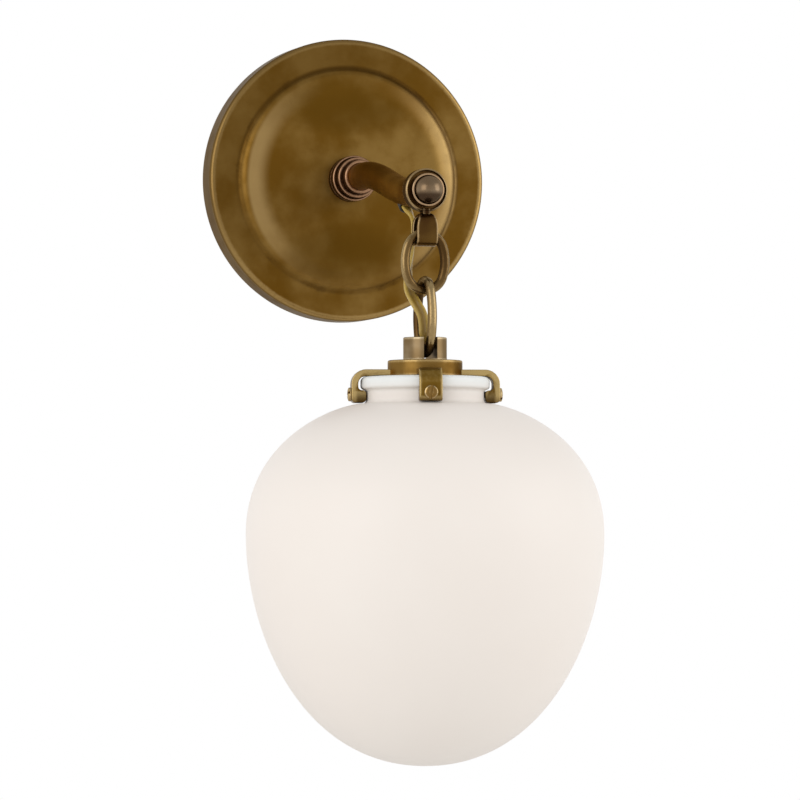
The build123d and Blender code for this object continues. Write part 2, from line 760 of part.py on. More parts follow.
shell_hole, shell_low = contact_dia / 2 + contact_gap, socket_bottom + shell_recess
with BuildPart() as shell:
    with BuildSketch(drop_plane):
        with BuildLine():
            Polyline(
                (shell_hole, shell_top), (shell_r, shell_top), (shell_r, shell_low),
                (shell_r - shell_sheet, shell_low),
                (shell_r - shell_sheet, shell_top - shell_sheet),
                (shell_hole, shell_top - shell_sheet), close=True,
            )
        make_face()
    revolve(axis=drop_axis)
save(shell.part, "socket_shell")

with BuildPart() as contact:
    with BuildSketch(Plane.XY.offset(shell_top)):
        with Locations((0, -reach)):
            Circle(contact_dia / 2)
    extrude(amount=-contact_height)
    chamfer(contact.faces().sort_by(Axis.Z)[0].outer_wire().edges(), contact_chamfer)
save(contact.part, "socket_contact")

# ---- lamp: a screw base with its centre tip, and a hollow bulb ----
lamp_z = lamp_top - running_fit
bulb_centre = lamp_z - lamp_length + lamp_dia / 2
taper_r, taper_z = lamp_base_dia / 2 - lamp_base_taper, lamp_z - lamp_tip_height
base_low = lamp_z - lamp_base_length
with BuildPart() as lamp_base:
    with BuildSketch(drop_plane):
        with BuildLine():
            Polyline(
                (0, lamp_z), (contact_dia / 2, lamp_z), (taper_r, taper_z),
                (lamp_base_dia / 2, taper_z - lamp_base_taper), (lamp_base_dia / 2, base_low),
                (0, base_low), close=True,
            )
        make_face()
    revolve(axis=drop_axis)
save(lamp_base.part, "lamp_base")


def bulb_section(inset):
    """Half section of the bulb, a neck that widens into a round end, set in by inset."""
    neck, ball_r = bulb_neck_dia / 2 - inset, lamp_dia / 2 - inset
    slant = ball_r * sin(radians(45))
    with BuildSketch(drop_plane) as section:
        with BuildLine():
            Line((0, base_low), (neck, base_low))
            Spline((neck, base_low), (ball_r, bulb_centre), tangents=((0, -1), (0, -1)))
            ThreePointArc(
                (ball_r, bulb_centre), (slant, bulb_centre - slant), (0, bulb_centre - ball_r)
            )
            Line((0, bulb_centre - ball_r), (0, base_low))
        make_face()
    return section.sketch


with BuildPart() as bulb:
    add(bulb_section(0))
    revolve(axis=drop_axis)
    add(bulb_section(lamp_wall))
    revolve(axis=drop_axis, mode=Mode.SUBTRACT)
save(bulb.part, "lamp_bulb")

# ---- supply cord ----
# One twin-core cord comes along the stem, leaves it under the hub, hangs slack behind the
# stirrup and the upper link, passes through the lower link and enters the swivel cap.
lead_back = 4.0
lead_last_turn = 6.0
cord_first_run = 8.6
with BuildLine(Plane.YZ) as lead_line:
    Line((-lead_back, 0), (-straight_out, 0))
    JernArc(start=lead_line.line @ 1, tangent=(-1, 0), radius=bend_radius, arc_size=bend_angle)
    JernArc(start=crank, tangent=down, radius=bend_radius, arc_size=lead_last_turn - bend_angle)
with BuildPart() as lead:
    with BuildSketch(Plane((0, -lead_back, 0), z_dir=(0, -1, 0))):
        Circle(cord_tube / 2)
    sweep(path=lead_line.line)
save(lead.part, "stem_lead")

lead_end, lead_way = lead_line.line @ 1, lead_line.line % 1
cord_points = {
    "cord_upper": [
        tuple(lead_end),
        tuple(lead_end + lead_way * cord_first_run),
        (0.0, -122.0, -22.4),
        (-0.5, -132.0, -25.3),
    ],
    "cord_middle": [
        (-1.1, -137.6, -29.0),
        (-1.7, -139.8, -35.3),
        (-2.4, -137.2, -43.5),
        (-3.6, -135.6, -51.2),
    ],
    "cord_lower": [
        (-5.3, -139.8, -58.2),
        (-3.7, -146.0, -63.6),
        (1.2, -148.2, -69.2),
        (4.4, -147.0, -75.4),
        (4.8, -145.2, -81.0),
        (4.8, -145.2, -86.0),
    ],
}
cord_route = [point for points in cord_points.values() for point in points]


def corner_radii(points):
    """0.45 of the shorter run beside each corner, divided by the tangent of half the turn."""
    runs = [Vector(*b) - Vector(*a) for a, b in zip(points, points[1:])]
    return [
        0.45 * min(a.length, b.length) / tan(radians(a.get_angle(b)) / 2)
        for a, b in zip(runs, runs[1:])
    ]


corner_radius = dict(zip(cord_route[1:-1], corner_radii(cord_route)))
print("cord radii", [round(r, 1) for r in corner_radius.values()])
# the cord is in three stretches, each of which bends across one joint; two stretches meet
# half way between the last point of one and the first of the next
next_point = dict(zip(cord_route, cord_route[1:]))
seam = []
for name, own in cord_points.items():
    points, seam = [*seam, *own], []
    if own[-1] in next_point:
        seam = [tuple((Vector(*own[-1]) + Vector(*next_point[own[-1]])) * 0.5)]
    points += seam
    with BuildPart() as stretch:
        with BuildLine() as path:
            FilletPolyline(*points, radius=[corner_radius[point] for point in points[1:-1]])
        with BuildSketch(Plane(path.line @ 0, z_dir=path.line % 0)):
            Circle(cord_tube / 2)
        sweep(path=path.line)
    length = sum(edge.length for edge in path.edges())
    share = stretch.part.volume / (pi * cord_tube**2 / 4 * length)
    print(name, "length", round(length, 1), "volume over section times length", round(share, 4))
    save(stretch.part, name)

lead_top = cord_route[-1][2]
with BuildPart() as socket_lead:
    with BuildSketch(Plane((cord_hole_side, cord_hole_back - reach, lead_top), z_dir=(0, 0, -1))):
        Circle(cord_tube / 2)
    extrude(amount=lead_top - socket_top)
save(socket_lead.part, "socket_lead")
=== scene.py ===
from math import cos, pi, radians, sin

import bmesh
import bpy
import numpy as np
from mathutils import Matrix, Vector


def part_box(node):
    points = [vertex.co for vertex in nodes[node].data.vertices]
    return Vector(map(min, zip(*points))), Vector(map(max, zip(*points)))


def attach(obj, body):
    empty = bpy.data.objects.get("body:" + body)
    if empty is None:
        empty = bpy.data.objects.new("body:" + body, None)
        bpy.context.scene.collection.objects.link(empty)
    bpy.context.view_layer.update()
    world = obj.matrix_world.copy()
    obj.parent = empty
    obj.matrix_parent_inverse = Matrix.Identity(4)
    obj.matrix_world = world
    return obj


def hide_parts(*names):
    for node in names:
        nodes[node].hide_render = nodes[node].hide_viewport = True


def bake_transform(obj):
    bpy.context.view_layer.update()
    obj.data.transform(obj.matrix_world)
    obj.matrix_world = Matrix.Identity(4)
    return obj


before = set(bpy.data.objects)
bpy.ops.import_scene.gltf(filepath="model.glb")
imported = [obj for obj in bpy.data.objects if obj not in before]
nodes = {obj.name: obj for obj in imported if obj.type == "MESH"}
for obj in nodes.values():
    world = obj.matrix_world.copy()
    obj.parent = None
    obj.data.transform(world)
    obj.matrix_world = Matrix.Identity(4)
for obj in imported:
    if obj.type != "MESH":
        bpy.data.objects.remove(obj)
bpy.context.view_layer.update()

# ---------------------------------------------------------------------------------------
# Canopy: a round plate spun from brass sheet, with a rounded rim and a raised, faintly
# domed middle. It is hollow towards the wall. The brass is darkened and rubbed by hand.
mm = 0.001
plate_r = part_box("canopy_plate")[1][0] / mm
face_out = -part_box("canopy_plate")[0][1] / mm
rim_out, rim_round, step_r, step_out = 15.0, 2.0, 51.0, 19.0
sheet, nipple_r, sharp = 1.2, 4.85, 0.1
foot_r, foot_bend = step_r + 2.0, 2.6
shoulder_r, shoulder_out, shoulder_bend = step_r - 0.3, step_out - 1.5, 5.0
roll_r, roll_out, roll_bend = step_r - 7.5, step_out + 0.3, 20.0


def unit(vectors):
    """Each row of an array, brought to length 1."""
    return vectors / np.linalg.norm(vectors, axis=1)[:, None]


def signed_area(points):
    """Twice the area inside a closed run of points, positive where it turns to the left."""
    ahead = np.roll(points, -1, 0)
    return (points[:, 0] * ahead[:, 1] - points[:, 1] * ahead[:, 0]).sum()


def rounded(corners, pitch, steps=7):
    """Points along a closed run of corners (a, b, radius), each corner an arc tangent to both sides.

    Also returns how bent the outline is near each point: up to 1 beside a tight convex arc,
    down to -1 beside a hollow one, fading with exp(-distance / fade). It is less beside an arc
    wider than tight.
    """
    tight, least, fade, gain = 2.2, 0.12, 0.7, 1.6
    at = np.array([c[:2] for c in corners], float)
    radius = np.array([max(c[2], 0.02) for c in corners])
    before, after = np.roll(at, 1, 0) - at, np.roll(at, -1, 0) - at
    to_a, to_b = unit(before), unit(after)
    half = np.arccos(np.clip((to_a * to_b).sum(1), -1, 1)) / 2
    centre = at + unit(to_a + to_b) * (radius / np.sin(half))[:, None]
    cut = radius / np.tan(half)
    first, last = at + to_a * cut[:, None], at + to_b * cut[:, None]
    around = to_b[:, 0] * to_a[:, 1] - to_b[:, 1] * to_a[:, 0]
    turning = np.sign(around) * (1 - 2 * half / pi) * np.clip(tight / radius, least, 1)
    turning *= np.sign(signed_area(at))
    points, bend = [], []
    for i in range(len(at)):
        share = np.linspace(0, 1, steps)[:, None]
        arm = (first[i] - centre[i]) * (1 - share) + (last[i] - centre[i]) * share
        arm *= radius[i] / np.linalg.norm(arm, axis=1)[:, None]
        points.append(centre[i] + arm)
        bend.append(np.full(steps, turning[i]))
        ahead = first[(i + 1) % len(at)]
        run = np.linalg.norm(ahead - last[i])
        count = max(int(run / pitch), 2)
        share = np.linspace(0, 1, count + 1)[1:-1, None]
        points.append(last[i] * (1 - share) + ahead * share)
        near, far = share[:, 0] * run, (1 - share[:, 0]) * run
        following = turning[(i + 1) % len(at)]
        bend.append(turning[i] * np.exp(-near / fade) + following * np.exp(-far / fade))
    return np.concatenate(points), np.clip(np.concatenate(bend) * gain, -1, 1)


def surface(name, grid, bend=None, close_rows=True):
    """A closed mesh from a grid of points in mm (rows, columns, 3); bend is kept per point.

    Neighbours in the grid make a four-sided face, and each row closes on itself. Where the
    rows do not close, the first and last get a flat lid. Points that coincide are merged.
    """
    rows, columns = grid.shape[:2]
    number = np.arange(rows * columns).reshape(rows, columns)
    r0 = number if close_rows else number[:-1]
    r1 = np.roll(number, -1, 0) if close_rows else number[1:]
    corners = np.stack([r0, r1, np.roll(r1, -1, 1), np.roll(r0, -1, 1)], -1)
    faces = [tuple(f) for f in corners.reshape(-1, 4).tolist()]
    for ring, order in (() if close_rows else ((0, 1), (-1, -1))):
        if np.ptp(grid[ring], axis=0).max() > 1e-4:
            faces.append(tuple(number[ring, ::order].tolist()))
    mesh = bpy.data.meshes.new(name)
    mesh.from_pydata((grid.reshape(-1, 3) * mm).tolist(), [], faces)
    spread = np.zeros((rows, columns)) if bend is None else np.broadcast_to(bend, (rows, columns))
    layer = mesh.attributes.new("bend", "FLOAT", "POINT")
    layer.data.foreach_set("value", np.ascontiguousarray(spread, np.float32).ravel())
    work = bmesh.new()
    work.from_mesh(mesh)
    bmesh.ops.remove_doubles(work, verts=work.verts, dist=1e-7)
    bmesh.ops.delete(work, geom=[e for e in work.edges if not e.link_faces], context="EDGES")
    bmesh.ops.recalc_face_normals(work, faces=work.faces)
    work.to_mesh(mesh)
    work.free()
    mesh.shade_smooth()
    piece = bpy.data.objects.new(name, mesh)
    bpy.context.scene.collection.objects.link(piece)
    return piece


def spin_y(name, corners, z=0.0, columns=128, pitch=0.4):
    """A turned piece about the line y through height z: a corner is (radius, distance out).

    A point is (radius cos t, -out, z + radius sin t), with t once round.
    """
    outline, bend = rounded(corners, pitch)
    t = np.linspace(0, 2 * pi, columns, endpoint=False)
    r, out = outline[:, 0][:, None], outline[:, 1][:, None]
    grid = np.stack([r * np.cos(t), -out + 0 * t, z + r * np.sin(t)], -1)
    return surface(name, grid, bend[:, None])


class Wire:
    """A shader socket that takes part in sums: each operator adds its Math node."""

    def __init__(self, finish, socket):
        self.finish, self.socket = finish, socket

    def maths(self, operation, *values):
        """A Math node on this socket and the values; on the values alone where they include it."""
        if self not in values:
            values = (self, *values)
        return self.finish.node("ShaderNodeMath", {"operation": operation}, dict(enumerate(values)))

    def __add__(self, other):
        return self.maths("ADD", self, other)

    def __radd__(self, other):
        return self.maths("ADD", other, self)

    def __sub__(self, other):
        return self.maths("SUBTRACT", self, other)

    def __rsub__(self, other):
        return self.maths("SUBTRACT", other, self)

    def __mul__(self, other):
        return self.maths("MULTIPLY", self, other)

    def __rmul__(self, other):
        return self.maths("MULTIPLY", other, self)

    def __truediv__(self, other):
        return self.maths("DIVIDE", self, other)

    def __pow__(self, other):
        return self.maths("POWER", self, other)


class Finish:
    """One node tree: node() adds a node with its settings and inputs and hands back its output."""

    def __init__(self, name, kind="materials", shader="Principled BSDF"):
        self.owner = getattr(bpy.data, kind).new(name)
        self.owner.use_nodes = True
        self.tree = self.owner.node_tree
        self.shader = self.tree.nodes[shader]

    def fill(self, node, inputs):
        for key, value in inputs.items():
            if isinstance(value, Wire):
                self.tree.links.new(value.socket, node.inputs[key])
            else:
                node.inputs[key].default_value = value

    def node(self, kind, settings=None, inputs=None, output=0):
        made = self.tree.nodes.new(kind)
        for key, value in (settings or {}).items():
            setattr(made, key, value)
        self.fill(made, inputs or {})
        return Wire(self, made.outputs[output])

    def noise(self, where, scale, detail=3.0, roughness=0.55):
        inputs = {"Vector": where, "Scale": scale, "Detail": detail, "Roughness": roughness}
        return self.node("ShaderNodeTexNoise", {}, inputs)

    def step(self, value, low, high):
        """0 below low, 1 above high, and smooth between."""
        inputs = {"Value": value, "From Min": low, "From Max": high}
        return self.node("ShaderNodeMapRange", {"interpolation_type": "SMOOTHSTEP"}, inputs)

    def blend(self, share, first, second):
        """The first colour where share is 0 and the second where it is 1."""
        inputs = {0: share, 6: first, 7: second}
        return self.node("ShaderNodeMix", {"data_type": "RGBA"}, inputs, output=2)

    def between(self, value, rise, fall):
        """1 between two ramps and 0 outside them; a ramp is a pair of values."""
        return self.step(value, *rise) * (1.0 - self.step(value, *fall))

    def bump(self, height, strength, distance):
        inputs = {"Height": height, "Strength": strength, "Distance": distance}
        return self.node("ShaderNodeBump", {}, inputs)

    def where(self):
        """The object coordinates, in metres."""
        return self.node("ShaderNodeTexCoord", {}, {}, output=3)

    def axis(self, number):
        """One object coordinate: 0 is x, 1 is y and 2 is z."""
        return self.node("ShaderNodeSeparateXYZ", {}, {"Vector": self.where()}, output=number)

    def stretched(self, *scale):
        """The object coordinates, each times its own scale."""
        inputs = {"Vector": self.where(), "Scale": scale}
        return self.node("ShaderNodeMapping", {}, inputs)

    def paint_over(self, mask, colour, share):
        """Blend a colour over the base colour that is there, by the mask times the share; here it
        mostly paints light and shade.
        """
        there = Wire(self, self.shader.inputs["Base Color"].links[0].from_socket)
        self.fill(self.shader, {"Base Color": self.blend(share * mask, there, colour)})

    def dress(self, *pieces, **shader):
        """Set the shader's sockets and give the material to each piece."""
        self.fill(self.shader, {key.replace("_", " "): value for key, value in shader.items()})
        for piece in pieces:
            piece.data.materials.clear()
            piece.data.materials.append(self.owner)


def ink(red, green, blue):
    """A colour as it is seen on screen, 0 to 255, as a shader colour."""
    shares = np.array([red, green, blue]) / 255
    linear = np.where(shares <= 0.04045, shares / 12.92, ((shares + 0.055) / 1.055) ** 2.4)
    return (*linear.tolist(), 1.0)


def aged_brass(name, dark, mid, light, roughness, offset=0.0):
    """Hand-rubbed brass: cloudy darkening, rubbed bright on edges, left dark in the creases.

    The offset moves the clouds, so that each material has its own.
    """
    brass = Finish(name)
    place = brass.node("ShaderNodeMapping", {}, {"Vector": brass.where(), "Location": (offset,) * 3})
    clouds = brass.step(brass.noise(place, 34.0, 4.0, 0.5), 0.36, 0.66)
    stains = brass.step(brass.noise(place, 95.0, 5.0, 0.6), 0.46, 0.72)
    grain = brass.noise(place, 900.0, 3.0, 0.6)
    bend = brass.node("ShaderNodeAttribute", {"attribute_name": "bend"}, {}, output=2)
    rubbed = brass.step(bend + 0.5 * (grain - 0.5), 0.15, 0.95)
    grimy = brass.step(0.0 - bend + 0.4 * (stains - 0.5), 0.1, 0.9)
    tone = brass.blend(clouds, dark, mid)
    tone = brass.blend(0.35 * stains, tone, dark)
    tone = brass.blend(0.7 * rubbed, tone, light)
    tone = brass.blend(0.65 * grimy, tone, ink(48, 28, 8))
    rough = roughness + 0.10 * (stains - 0.5) - 0.07 * rubbed + 0.12 * grimy
    normal = brass.bump(grain + 0.6 * stains, 0.10, 0.0002)
    brass.dress(
        Base_Color=tone, Roughness=rough, Normal=normal, Metallic=0.92,
        Specular_Tint=(0.62, 0.57, 0.5, 1.0),
    )
    return brass


canopy = spin_y(
    "canopy_shell",
    [
        (plate_r, 0.0, sharp), (plate_r, rim_out, rim_round), (foot_r, rim_out, foot_bend),
        (shoulder_r, shoulder_out, shoulder_bend), (roll_r, roll_out, roll_bend),
        (nipple_r, face_out, sharp), (nipple_r, face_out - sheet, sharp),
        (roll_r, roll_out - sheet, roll_bend - 1.0),
        (shoulder_r - 0.7, shoulder_out - sheet, shoulder_bend - sheet),
        (foot_r - 0.7, rim_out - sheet, foot_bend + sheet),
        (plate_r - sheet, rim_out - sheet, rim_round - sheet), (plate_r - sheet, 0.0, sharp),
    ],
    columns=288, pitch=1.0,
)
plate_brass = aged_brass("plate_brass", ink(104, 72, 18), ink(134, 104, 52), ink(176, 146, 92), 0.42)
plate_x, plate_z = plate_brass.axis(0), plate_brass.axis(2)
patch_noise = plate_brass.noise(plate_brass.where(), 55.0, 3.0)


def patch(x, z, half_x, half_z):
    """A soft mask for painted dark reflections: 1 at its middle, 0 outside the ellipse of these half
    sizes in mm.
    """
    far = ((plate_x - x * mm) / (half_x * mm)) ** 2.0 + ((plate_z - z * mm) / (half_z * mm)) ** 2.0
    return plate_brass.step(0.0 - far - 0.9 * patch_noise, -1.6, -0.4)


# Painted dark reflections in two patches above and below the middle, a painted highlight in a
# band at the sides of the roll, painted shadow in the crease at its foot (stronger at the top),
# painted shade on the upper left from the foot outwards, and the rim's side darkened all round.
band_shift = 2.2
plate_far = (plate_x * plate_x + plate_z * plate_z) ** 0.5
sideways = plate_brass.step((plate_x * plate_x) / (plate_x * plate_x + plate_z * plate_z), 0.0, 1.0)
band_x = plate_x - band_shift * mm
band_far = (band_x * band_x + plate_z * plate_z) ** 0.5
# Painted highlight on the sides of the roll.
highlight_band = plate_brass.between(
    band_far, ((roll_r - 3) * mm, (roll_r + 4) * mm), ((shoulder_r - 0.6) * mm, (foot_r - 0.6) * mm)
)
# Painted shadow in the crease at the foot of the roll, stronger at the top.
crease_shadow = plate_brass.between(
    plate_far, ((foot_r - 1.2) * mm, foot_r * mm), ((foot_r + 0.4) * mm, (foot_r + 2) * mm)
)
crease_shadow = crease_shadow * (0.3 + 0.7 * plate_brass.step(plate_z, -0.03, 0.04))
# Painted shade on the upper left, from the foot of the roll outwards.
ring = plate_brass.step(plate_far, (foot_r - 2) * mm, foot_r * mm)
ring = ring * plate_brass.step(plate_z - plate_x, -0.03, 0.07)
# The rim's side, darkened all round.
edge = plate_brass.step(plate_far, (plate_r - 0.9) * mm, (plate_r - 0.2) * mm)
dark_reflection_patches = (patch(-2, 33, 34, 13) + patch(0, -34, 34, 15)).maths("MINIMUM", 1.0)
for mask, colour, share in (
    (dark_reflection_patches, ink(88, 60, 10), 0.7), (highlight_band * sideways, ink(178, 150, 100), 0.55),
    (crease_shadow, ink(62, 40, 10), 0.7), (ring, ink(78, 52, 10), 0.5), (edge, ink(84, 62, 30), 0.6),
):
    plate_brass.paint_over(mask, colour, share)
plate_brass.dress(canopy)
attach(canopy, "root")
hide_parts("canopy_plate")

# ---------------------------------------------------------------------------------------
# Collar: a turned flange in two steps, and a plain check ring that covers the end of the
# stem. Both are brass, slipped over the nipple and pinched when its nut is tightened.
flange_low, flange_top, collar_top = face_out + 8.5, face_out + 14.0, face_out + 20.0
base_r, upper_r, bead_r, bead_out = 10.7, 9.5, 10.0, face_out + 4.0
ring_r, ring_bore = 7.9, 6.4
flange = spin_y(
    "stem_flange_turned",
    [
        (nipple_r, face_out, sharp), (base_r, face_out, 0.2), (base_r, bead_out - 0.6, 0.5),
        (bead_r, bead_out, 0.4), (base_r, bead_out + 0.6, 0.5), (base_r, flange_low, 0.6),
        (upper_r, flange_low, 0.3), (upper_r, flange_top, 0.6), (nipple_r, flange_top, sharp),
    ],
)
check_ring = spin_y(
    "stem_check_ring_turned",
    [
        (ring_bore, flange_top, sharp), (ring_r, flange_top, 0.3), (ring_r, collar_top, 0.8),
        (ring_bore, collar_top, 0.2),
    ],
)
collar_brass = aged_brass("collar_brass", ink(36, 14, 0), ink(60, 30, 6), ink(188, 146, 112), 0.28, 0.3)
collar_brass.dress(flange, check_ring)
for piece, node in ((flange, "stem_flange"), (check_ring, "stem_check_ring")):
    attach(piece, "root")
    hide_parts(node)

# ---------------------------------------------------------------------------------------
# Stem: half-inch brass tube, cranked down in one long S. The drop is that of two bends of 34
# degrees. The hub's plug closes its end, and a slanted hole on the underside lets the cord out.
stem_r, stem_wall, stem_end = 6.35, 1.2, 144.0
bend_radius, bend_angle = 40.0, radians(34)
hub_z = -2 * bend_radius * (1 - cos(bend_angle))
crank_start, crank_end = 46.0, 134.0
bush_slope, bush_out = radians(36.4), 118.0


def crank_line(out):
    """Height of the stem's line: level at both ends, it falls by the share s s (3 - 2 s) between."""
    s = np.clip((out - crank_start) / (crank_end - crank_start), 0, 1)
    return hub_z * s * s * (3 - 2 * s)


def tube_along(name, out, z, outer, inner, columns=72):
    """An open tube: circles of both radii square to the line, joined at the two ends."""
    tangent = unit(np.stack([np.gradient(out), np.gradient(z)], -1))
    t = np.linspace(0, 2 * pi, columns, endpoint=False)
    rings = []
    for radius in (outer, inner):
        side = radius * np.cos(t)[None]
        lift = radius * np.sin(t)[None]
        x = side + 0 * out[:, None]
        y = -(out[:, None] - tangent[:, 1:] * lift)
        rings.append(np.stack([x, y, z[:, None] + tangent[:, :1] * lift], -1))
    grid = np.concatenate([rings[0], rings[1][::-1]])
    return surface(name, grid)


stem_out = np.linspace(flange_top, stem_end, 96)
stem = tube_along("stem_bent", stem_out, crank_line(stem_out), stem_r, stem_r - stem_wall)
sideward, upright = np.array([1.0, 0, 0]), np.array([0.0, 0, 1])
bush_way = np.array([0.0, -cos(bush_slope), -sin(bush_slope)])
bush_mid = np.array([0.0, -bush_out, crank_line(bush_out) - stem_r + stem_wall / 2])
bush_seat = (bush_mid, bush_way, sideward, np.cross(sideward, bush_way))


def spin_about(name, corners, centre, way, side, up, columns=64, pitch=0.4):
    """A turned piece about any line: centre + way * height + radius (side cos t + up sin t)."""
    outline, bend = rounded(corners, pitch)
    t = np.linspace(0, 2 * pi, columns, endpoint=False)[None, :, None]
    r, height = outline[:, 0][:, None, None], outline[:, 1][:, None, None]
    grid = centre + way * height + r * (side * np.cos(t) + up * np.sin(t))
    return surface(name, grid, bend[:, None])


hole_r, hole_low, hole_high = 3.55, -4.0, 6.0
bore_cutter = spin_about(
    "bore_cutter",
    [(0.0, hole_low, 0.0), (hole_r, hole_low, 0.0), (hole_r, hole_high, 0.0), (0.0, hole_high, 0.0)],
    *bush_seat,
)


def cut(piece, cutter):
    """Take the cutter's volume out of the piece, and delete the cutter."""
    modifier = piece.modifiers.new("cut", "BOOLEAN")
    modifier.operation, modifier.solver, modifier.object = "DIFFERENCE", "EXACT", cutter
    seen = piece.evaluated_get(bpy.context.evaluated_depsgraph_get())
    mesh = bpy.data.meshes.new_from_object(seen)
    piece.modifiers.clear()
    piece.data = mesh
    bpy.data.objects.remove(cutter)


cut(stem, bore_cutter)
stem_brass = aged_brass("stem_brass", ink(120, 80, 20), ink(144, 102, 34), ink(176, 140, 76), 0.34, 0.6)
stem_brass.dress(stem)
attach(stem, "root")
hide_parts("stem_tube")

# ---------------------------------------------------------------------------------------
# Cord bush: a small dark moulded ring pressed into that slanted hole, so that the edge of
# the tube does not chafe the cord.
bush_r, bush_bore, bush_low, bush_high = 3.5, 2.6, -3.0, 1.6
bush = spin_about(
    "cord_bush",
    [
        (bush_bore, bush_low, 0.4), (bush_r, bush_low, 0.2), (bush_r, bush_high, 0.5),
        (bush_bore, bush_high, 0.4),
    ],
    *bush_seat,
)
bush_black = Finish("bush_black")
bush_grain = bush_black.noise(bush_black.where(), 1500.0, 2.0)
bush_black.dress(
    bush, Base_Color=bush_black.blend(bush_grain, ink(22, 17, 12), ink(44, 36, 28)), Roughness=0.55,
    Normal=bush_black.bump(bush_grain, 0.2, 0.0001),
)
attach(bush, "root")
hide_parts("stem_cord_bush")

# ---------------------------------------------------------------------------------------
# Hub: the plug in the stem's end carries a journal for the stirrup's eye, a turned cup in
# front of the eye and a ball nut on a stud. All are turned brass, the ball the brightest.
eye_back, eye_front, journal_end = 146.7, 153.3, 151.5
cup_floor, cup_rim, cup_r, ball_out, ball_r = journal_end + 1.5, 155.9, 7.5, 156.3, 6.15
plug_back, plug_r, collar_r, collar_front = 134.0, 5.1, 7.3, 146.5
journal_r, bolt_r, bolt_end = 6.0, 2.0, 158.0
spindle = spin_y(
    "hub_spindle_turned",
    [
        (0.0, plug_back, 0.0), (plug_r, plug_back, 0.3), (plug_r, stem_end, 0.02),
        (collar_r, stem_end, 0.3), (collar_r, collar_front, 0.5), (journal_r, collar_front, sharp),
        (journal_r, journal_end, 0.2), (bolt_r, journal_end, sharp), (bolt_r, bolt_end, 0.2),
        (0.0, bolt_end, 0.0),
    ],
    z=hub_z, columns=96, pitch=0.5,
)
cup = spin_y(
    "hub_cup_turned",
    [
        (bolt_r + 0.05, journal_end, 0.05), (cup_r, journal_end, 0.3), (cup_r, cup_rim, 0.45),
        (cup_r - 1.0, cup_rim, 0.3), (cup_r - 1.5, cup_floor + 0.7, 1.2),
        (bolt_r + 0.05, cup_floor, 0.05),
    ],
    z=hub_z, pitch=0.3,
)


def flat_backed_ball(name):
    """A ball with a flat back: the profile is its arc from the flat round to the front pole."""
    flat = cup_floor - ball_out
    start = np.arccos(flat / ball_r)
    a = np.concatenate([[start], np.linspace(start, 0, 48)])
    r = np.sin(a) * ball_r
    r[0] = 0.0
    out = ball_out + np.cos(a) * ball_r
    out[0] = ball_out + flat
    t = np.linspace(0, 2 * pi, 96, endpoint=False)
    grid = np.stack([r[:, None] * np.cos(t), -out[:, None] + 0 * t, hub_z + r[:, None] * np.sin(t)], -1)
    return surface(name, grid, close_rows=False)


ball = flat_backed_ball("ball_nut_turned")
hub_brass = aged_brass("hub_brass", ink(70, 42, 18), ink(112, 82, 46), ink(196, 164, 128), 0.24, 0.9)
hub_brass.dress(spindle, cup)
ball_brass = aged_brass(
    "ball_brass", ink(112, 90, 66), ink(138, 120, 98), ink(190, 160, 130), 0.30, 1.2
)
# Painted shade: the ball is darker on its lower part, below the hub's line.
underside_shade = ball_brass.step(ball_brass.axis(2), (hub_z - 0.5) * mm, (hub_z - 2.8) * mm)
ball_brass.paint_over(underside_shade, ink(44, 24, 10), 0.8)
ball_brass.dress(ball)
for piece, node in ((spindle, "hub_spindle"), (cup, "hub_cup_washer"), (ball, "ball_nut")):
    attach(piece, "root")
    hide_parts(node)

# ---------------------------------------------------------------------------------------
# Stirrup: a turned eye that swings on the journal, and below it a loop of flat brass strap,
# round-shouldered up to a short neck. Eye, neck and loop are brazed into one piece.
stirrup_top, stirrup_bottom = hub_z - 10.3, hub_z - 25.3
strap_half, strap_thick, strap_depth = 4.8, 2.0, 10.0
neck_half, shoulder_drop = 1.7, 7.5
reach = 150.0


def tangent_round(line):
    """The direction at each point of a closed line, from the point before to the point after."""
    return unit(np.roll(line, -1, 0) - np.roll(line, 1, 0))


def edge_offsets(edge):
    """How far each point of a bar's section lies inside its square corner, and how rubbed it is.

    Two points on one flat, an arc of a quarter turn of radius edge, two points on the other.
    """
    phi = np.linspace(0, pi / 2, 6)
    first = np.concatenate([[0, 0], edge * (1 - np.cos(phi)), [edge + 0.35, edge + 0.9]])
    second = np.concatenate([[edge + 0.9, edge + 0.35], edge * (1 - np.sin(phi)), [0, 0]])
    rub = np.concatenate([[0, 0.5], np.ones(6), [0.5, 0]])
    return first, second, rub


def carried_bar(name, centre, normal, half_thick, half_wide, edge, closed=True):
    """A flat bar along a line: its section is a rectangle with rounded edges.

    A point is centre + normal * a + x * b, where a runs over the thickness and b over the
    width; half_wide is a number or a function of the height of the point.
    """
    first, second, rub = edge_offsets(edge)
    a_parts, b_parts, signs = [], [], []
    for sign_a, sign_b, turn in ((1, 1, 1), (-1, 1, -1), (-1, -1, 1), (1, -1, -1)):
        a_parts.append(sign_a * (half_thick - np.minimum(first, half_thick * 0.95))[::turn])
        b_parts.append(second[::turn])
        signs.append(np.full(len(first), sign_b))
    a, inset, sign = (np.concatenate(part) for part in (a_parts, b_parts, signs))
    place = centre[:, None] + normal[:, None] * a[None, :, None]
    wide = half_wide(place[..., 2]) if callable(half_wide) else half_wide
    b = sign * (wide - np.minimum(inset, wide * 0.95 if np.isscalar(wide) else 1e9))
    grid = place + sideward * (b[..., None] if np.ndim(b) == 2 else b[None, :, None])
    return surface(name, grid, np.tile(rub, 4)[None], closed)


def joined(name, *pieces):
    """Several closed shells kept as one piece."""
    with bpy.context.temp_override(active_object=pieces[0], selected_editable_objects=list(pieces)):
        bpy.ops.object.join()
    pieces[0].name = name
    return pieces[0]


def shoulder_width(z):
    """Half width of the strap: full below the shoulder, then a quarter of an ellipse to the neck."""
    share = np.clip((z - (stirrup_top - shoulder_drop)) / shoulder_drop, 0, 1)
    return neck_half + (strap_half - neck_half) * np.sqrt(1 - share**2)


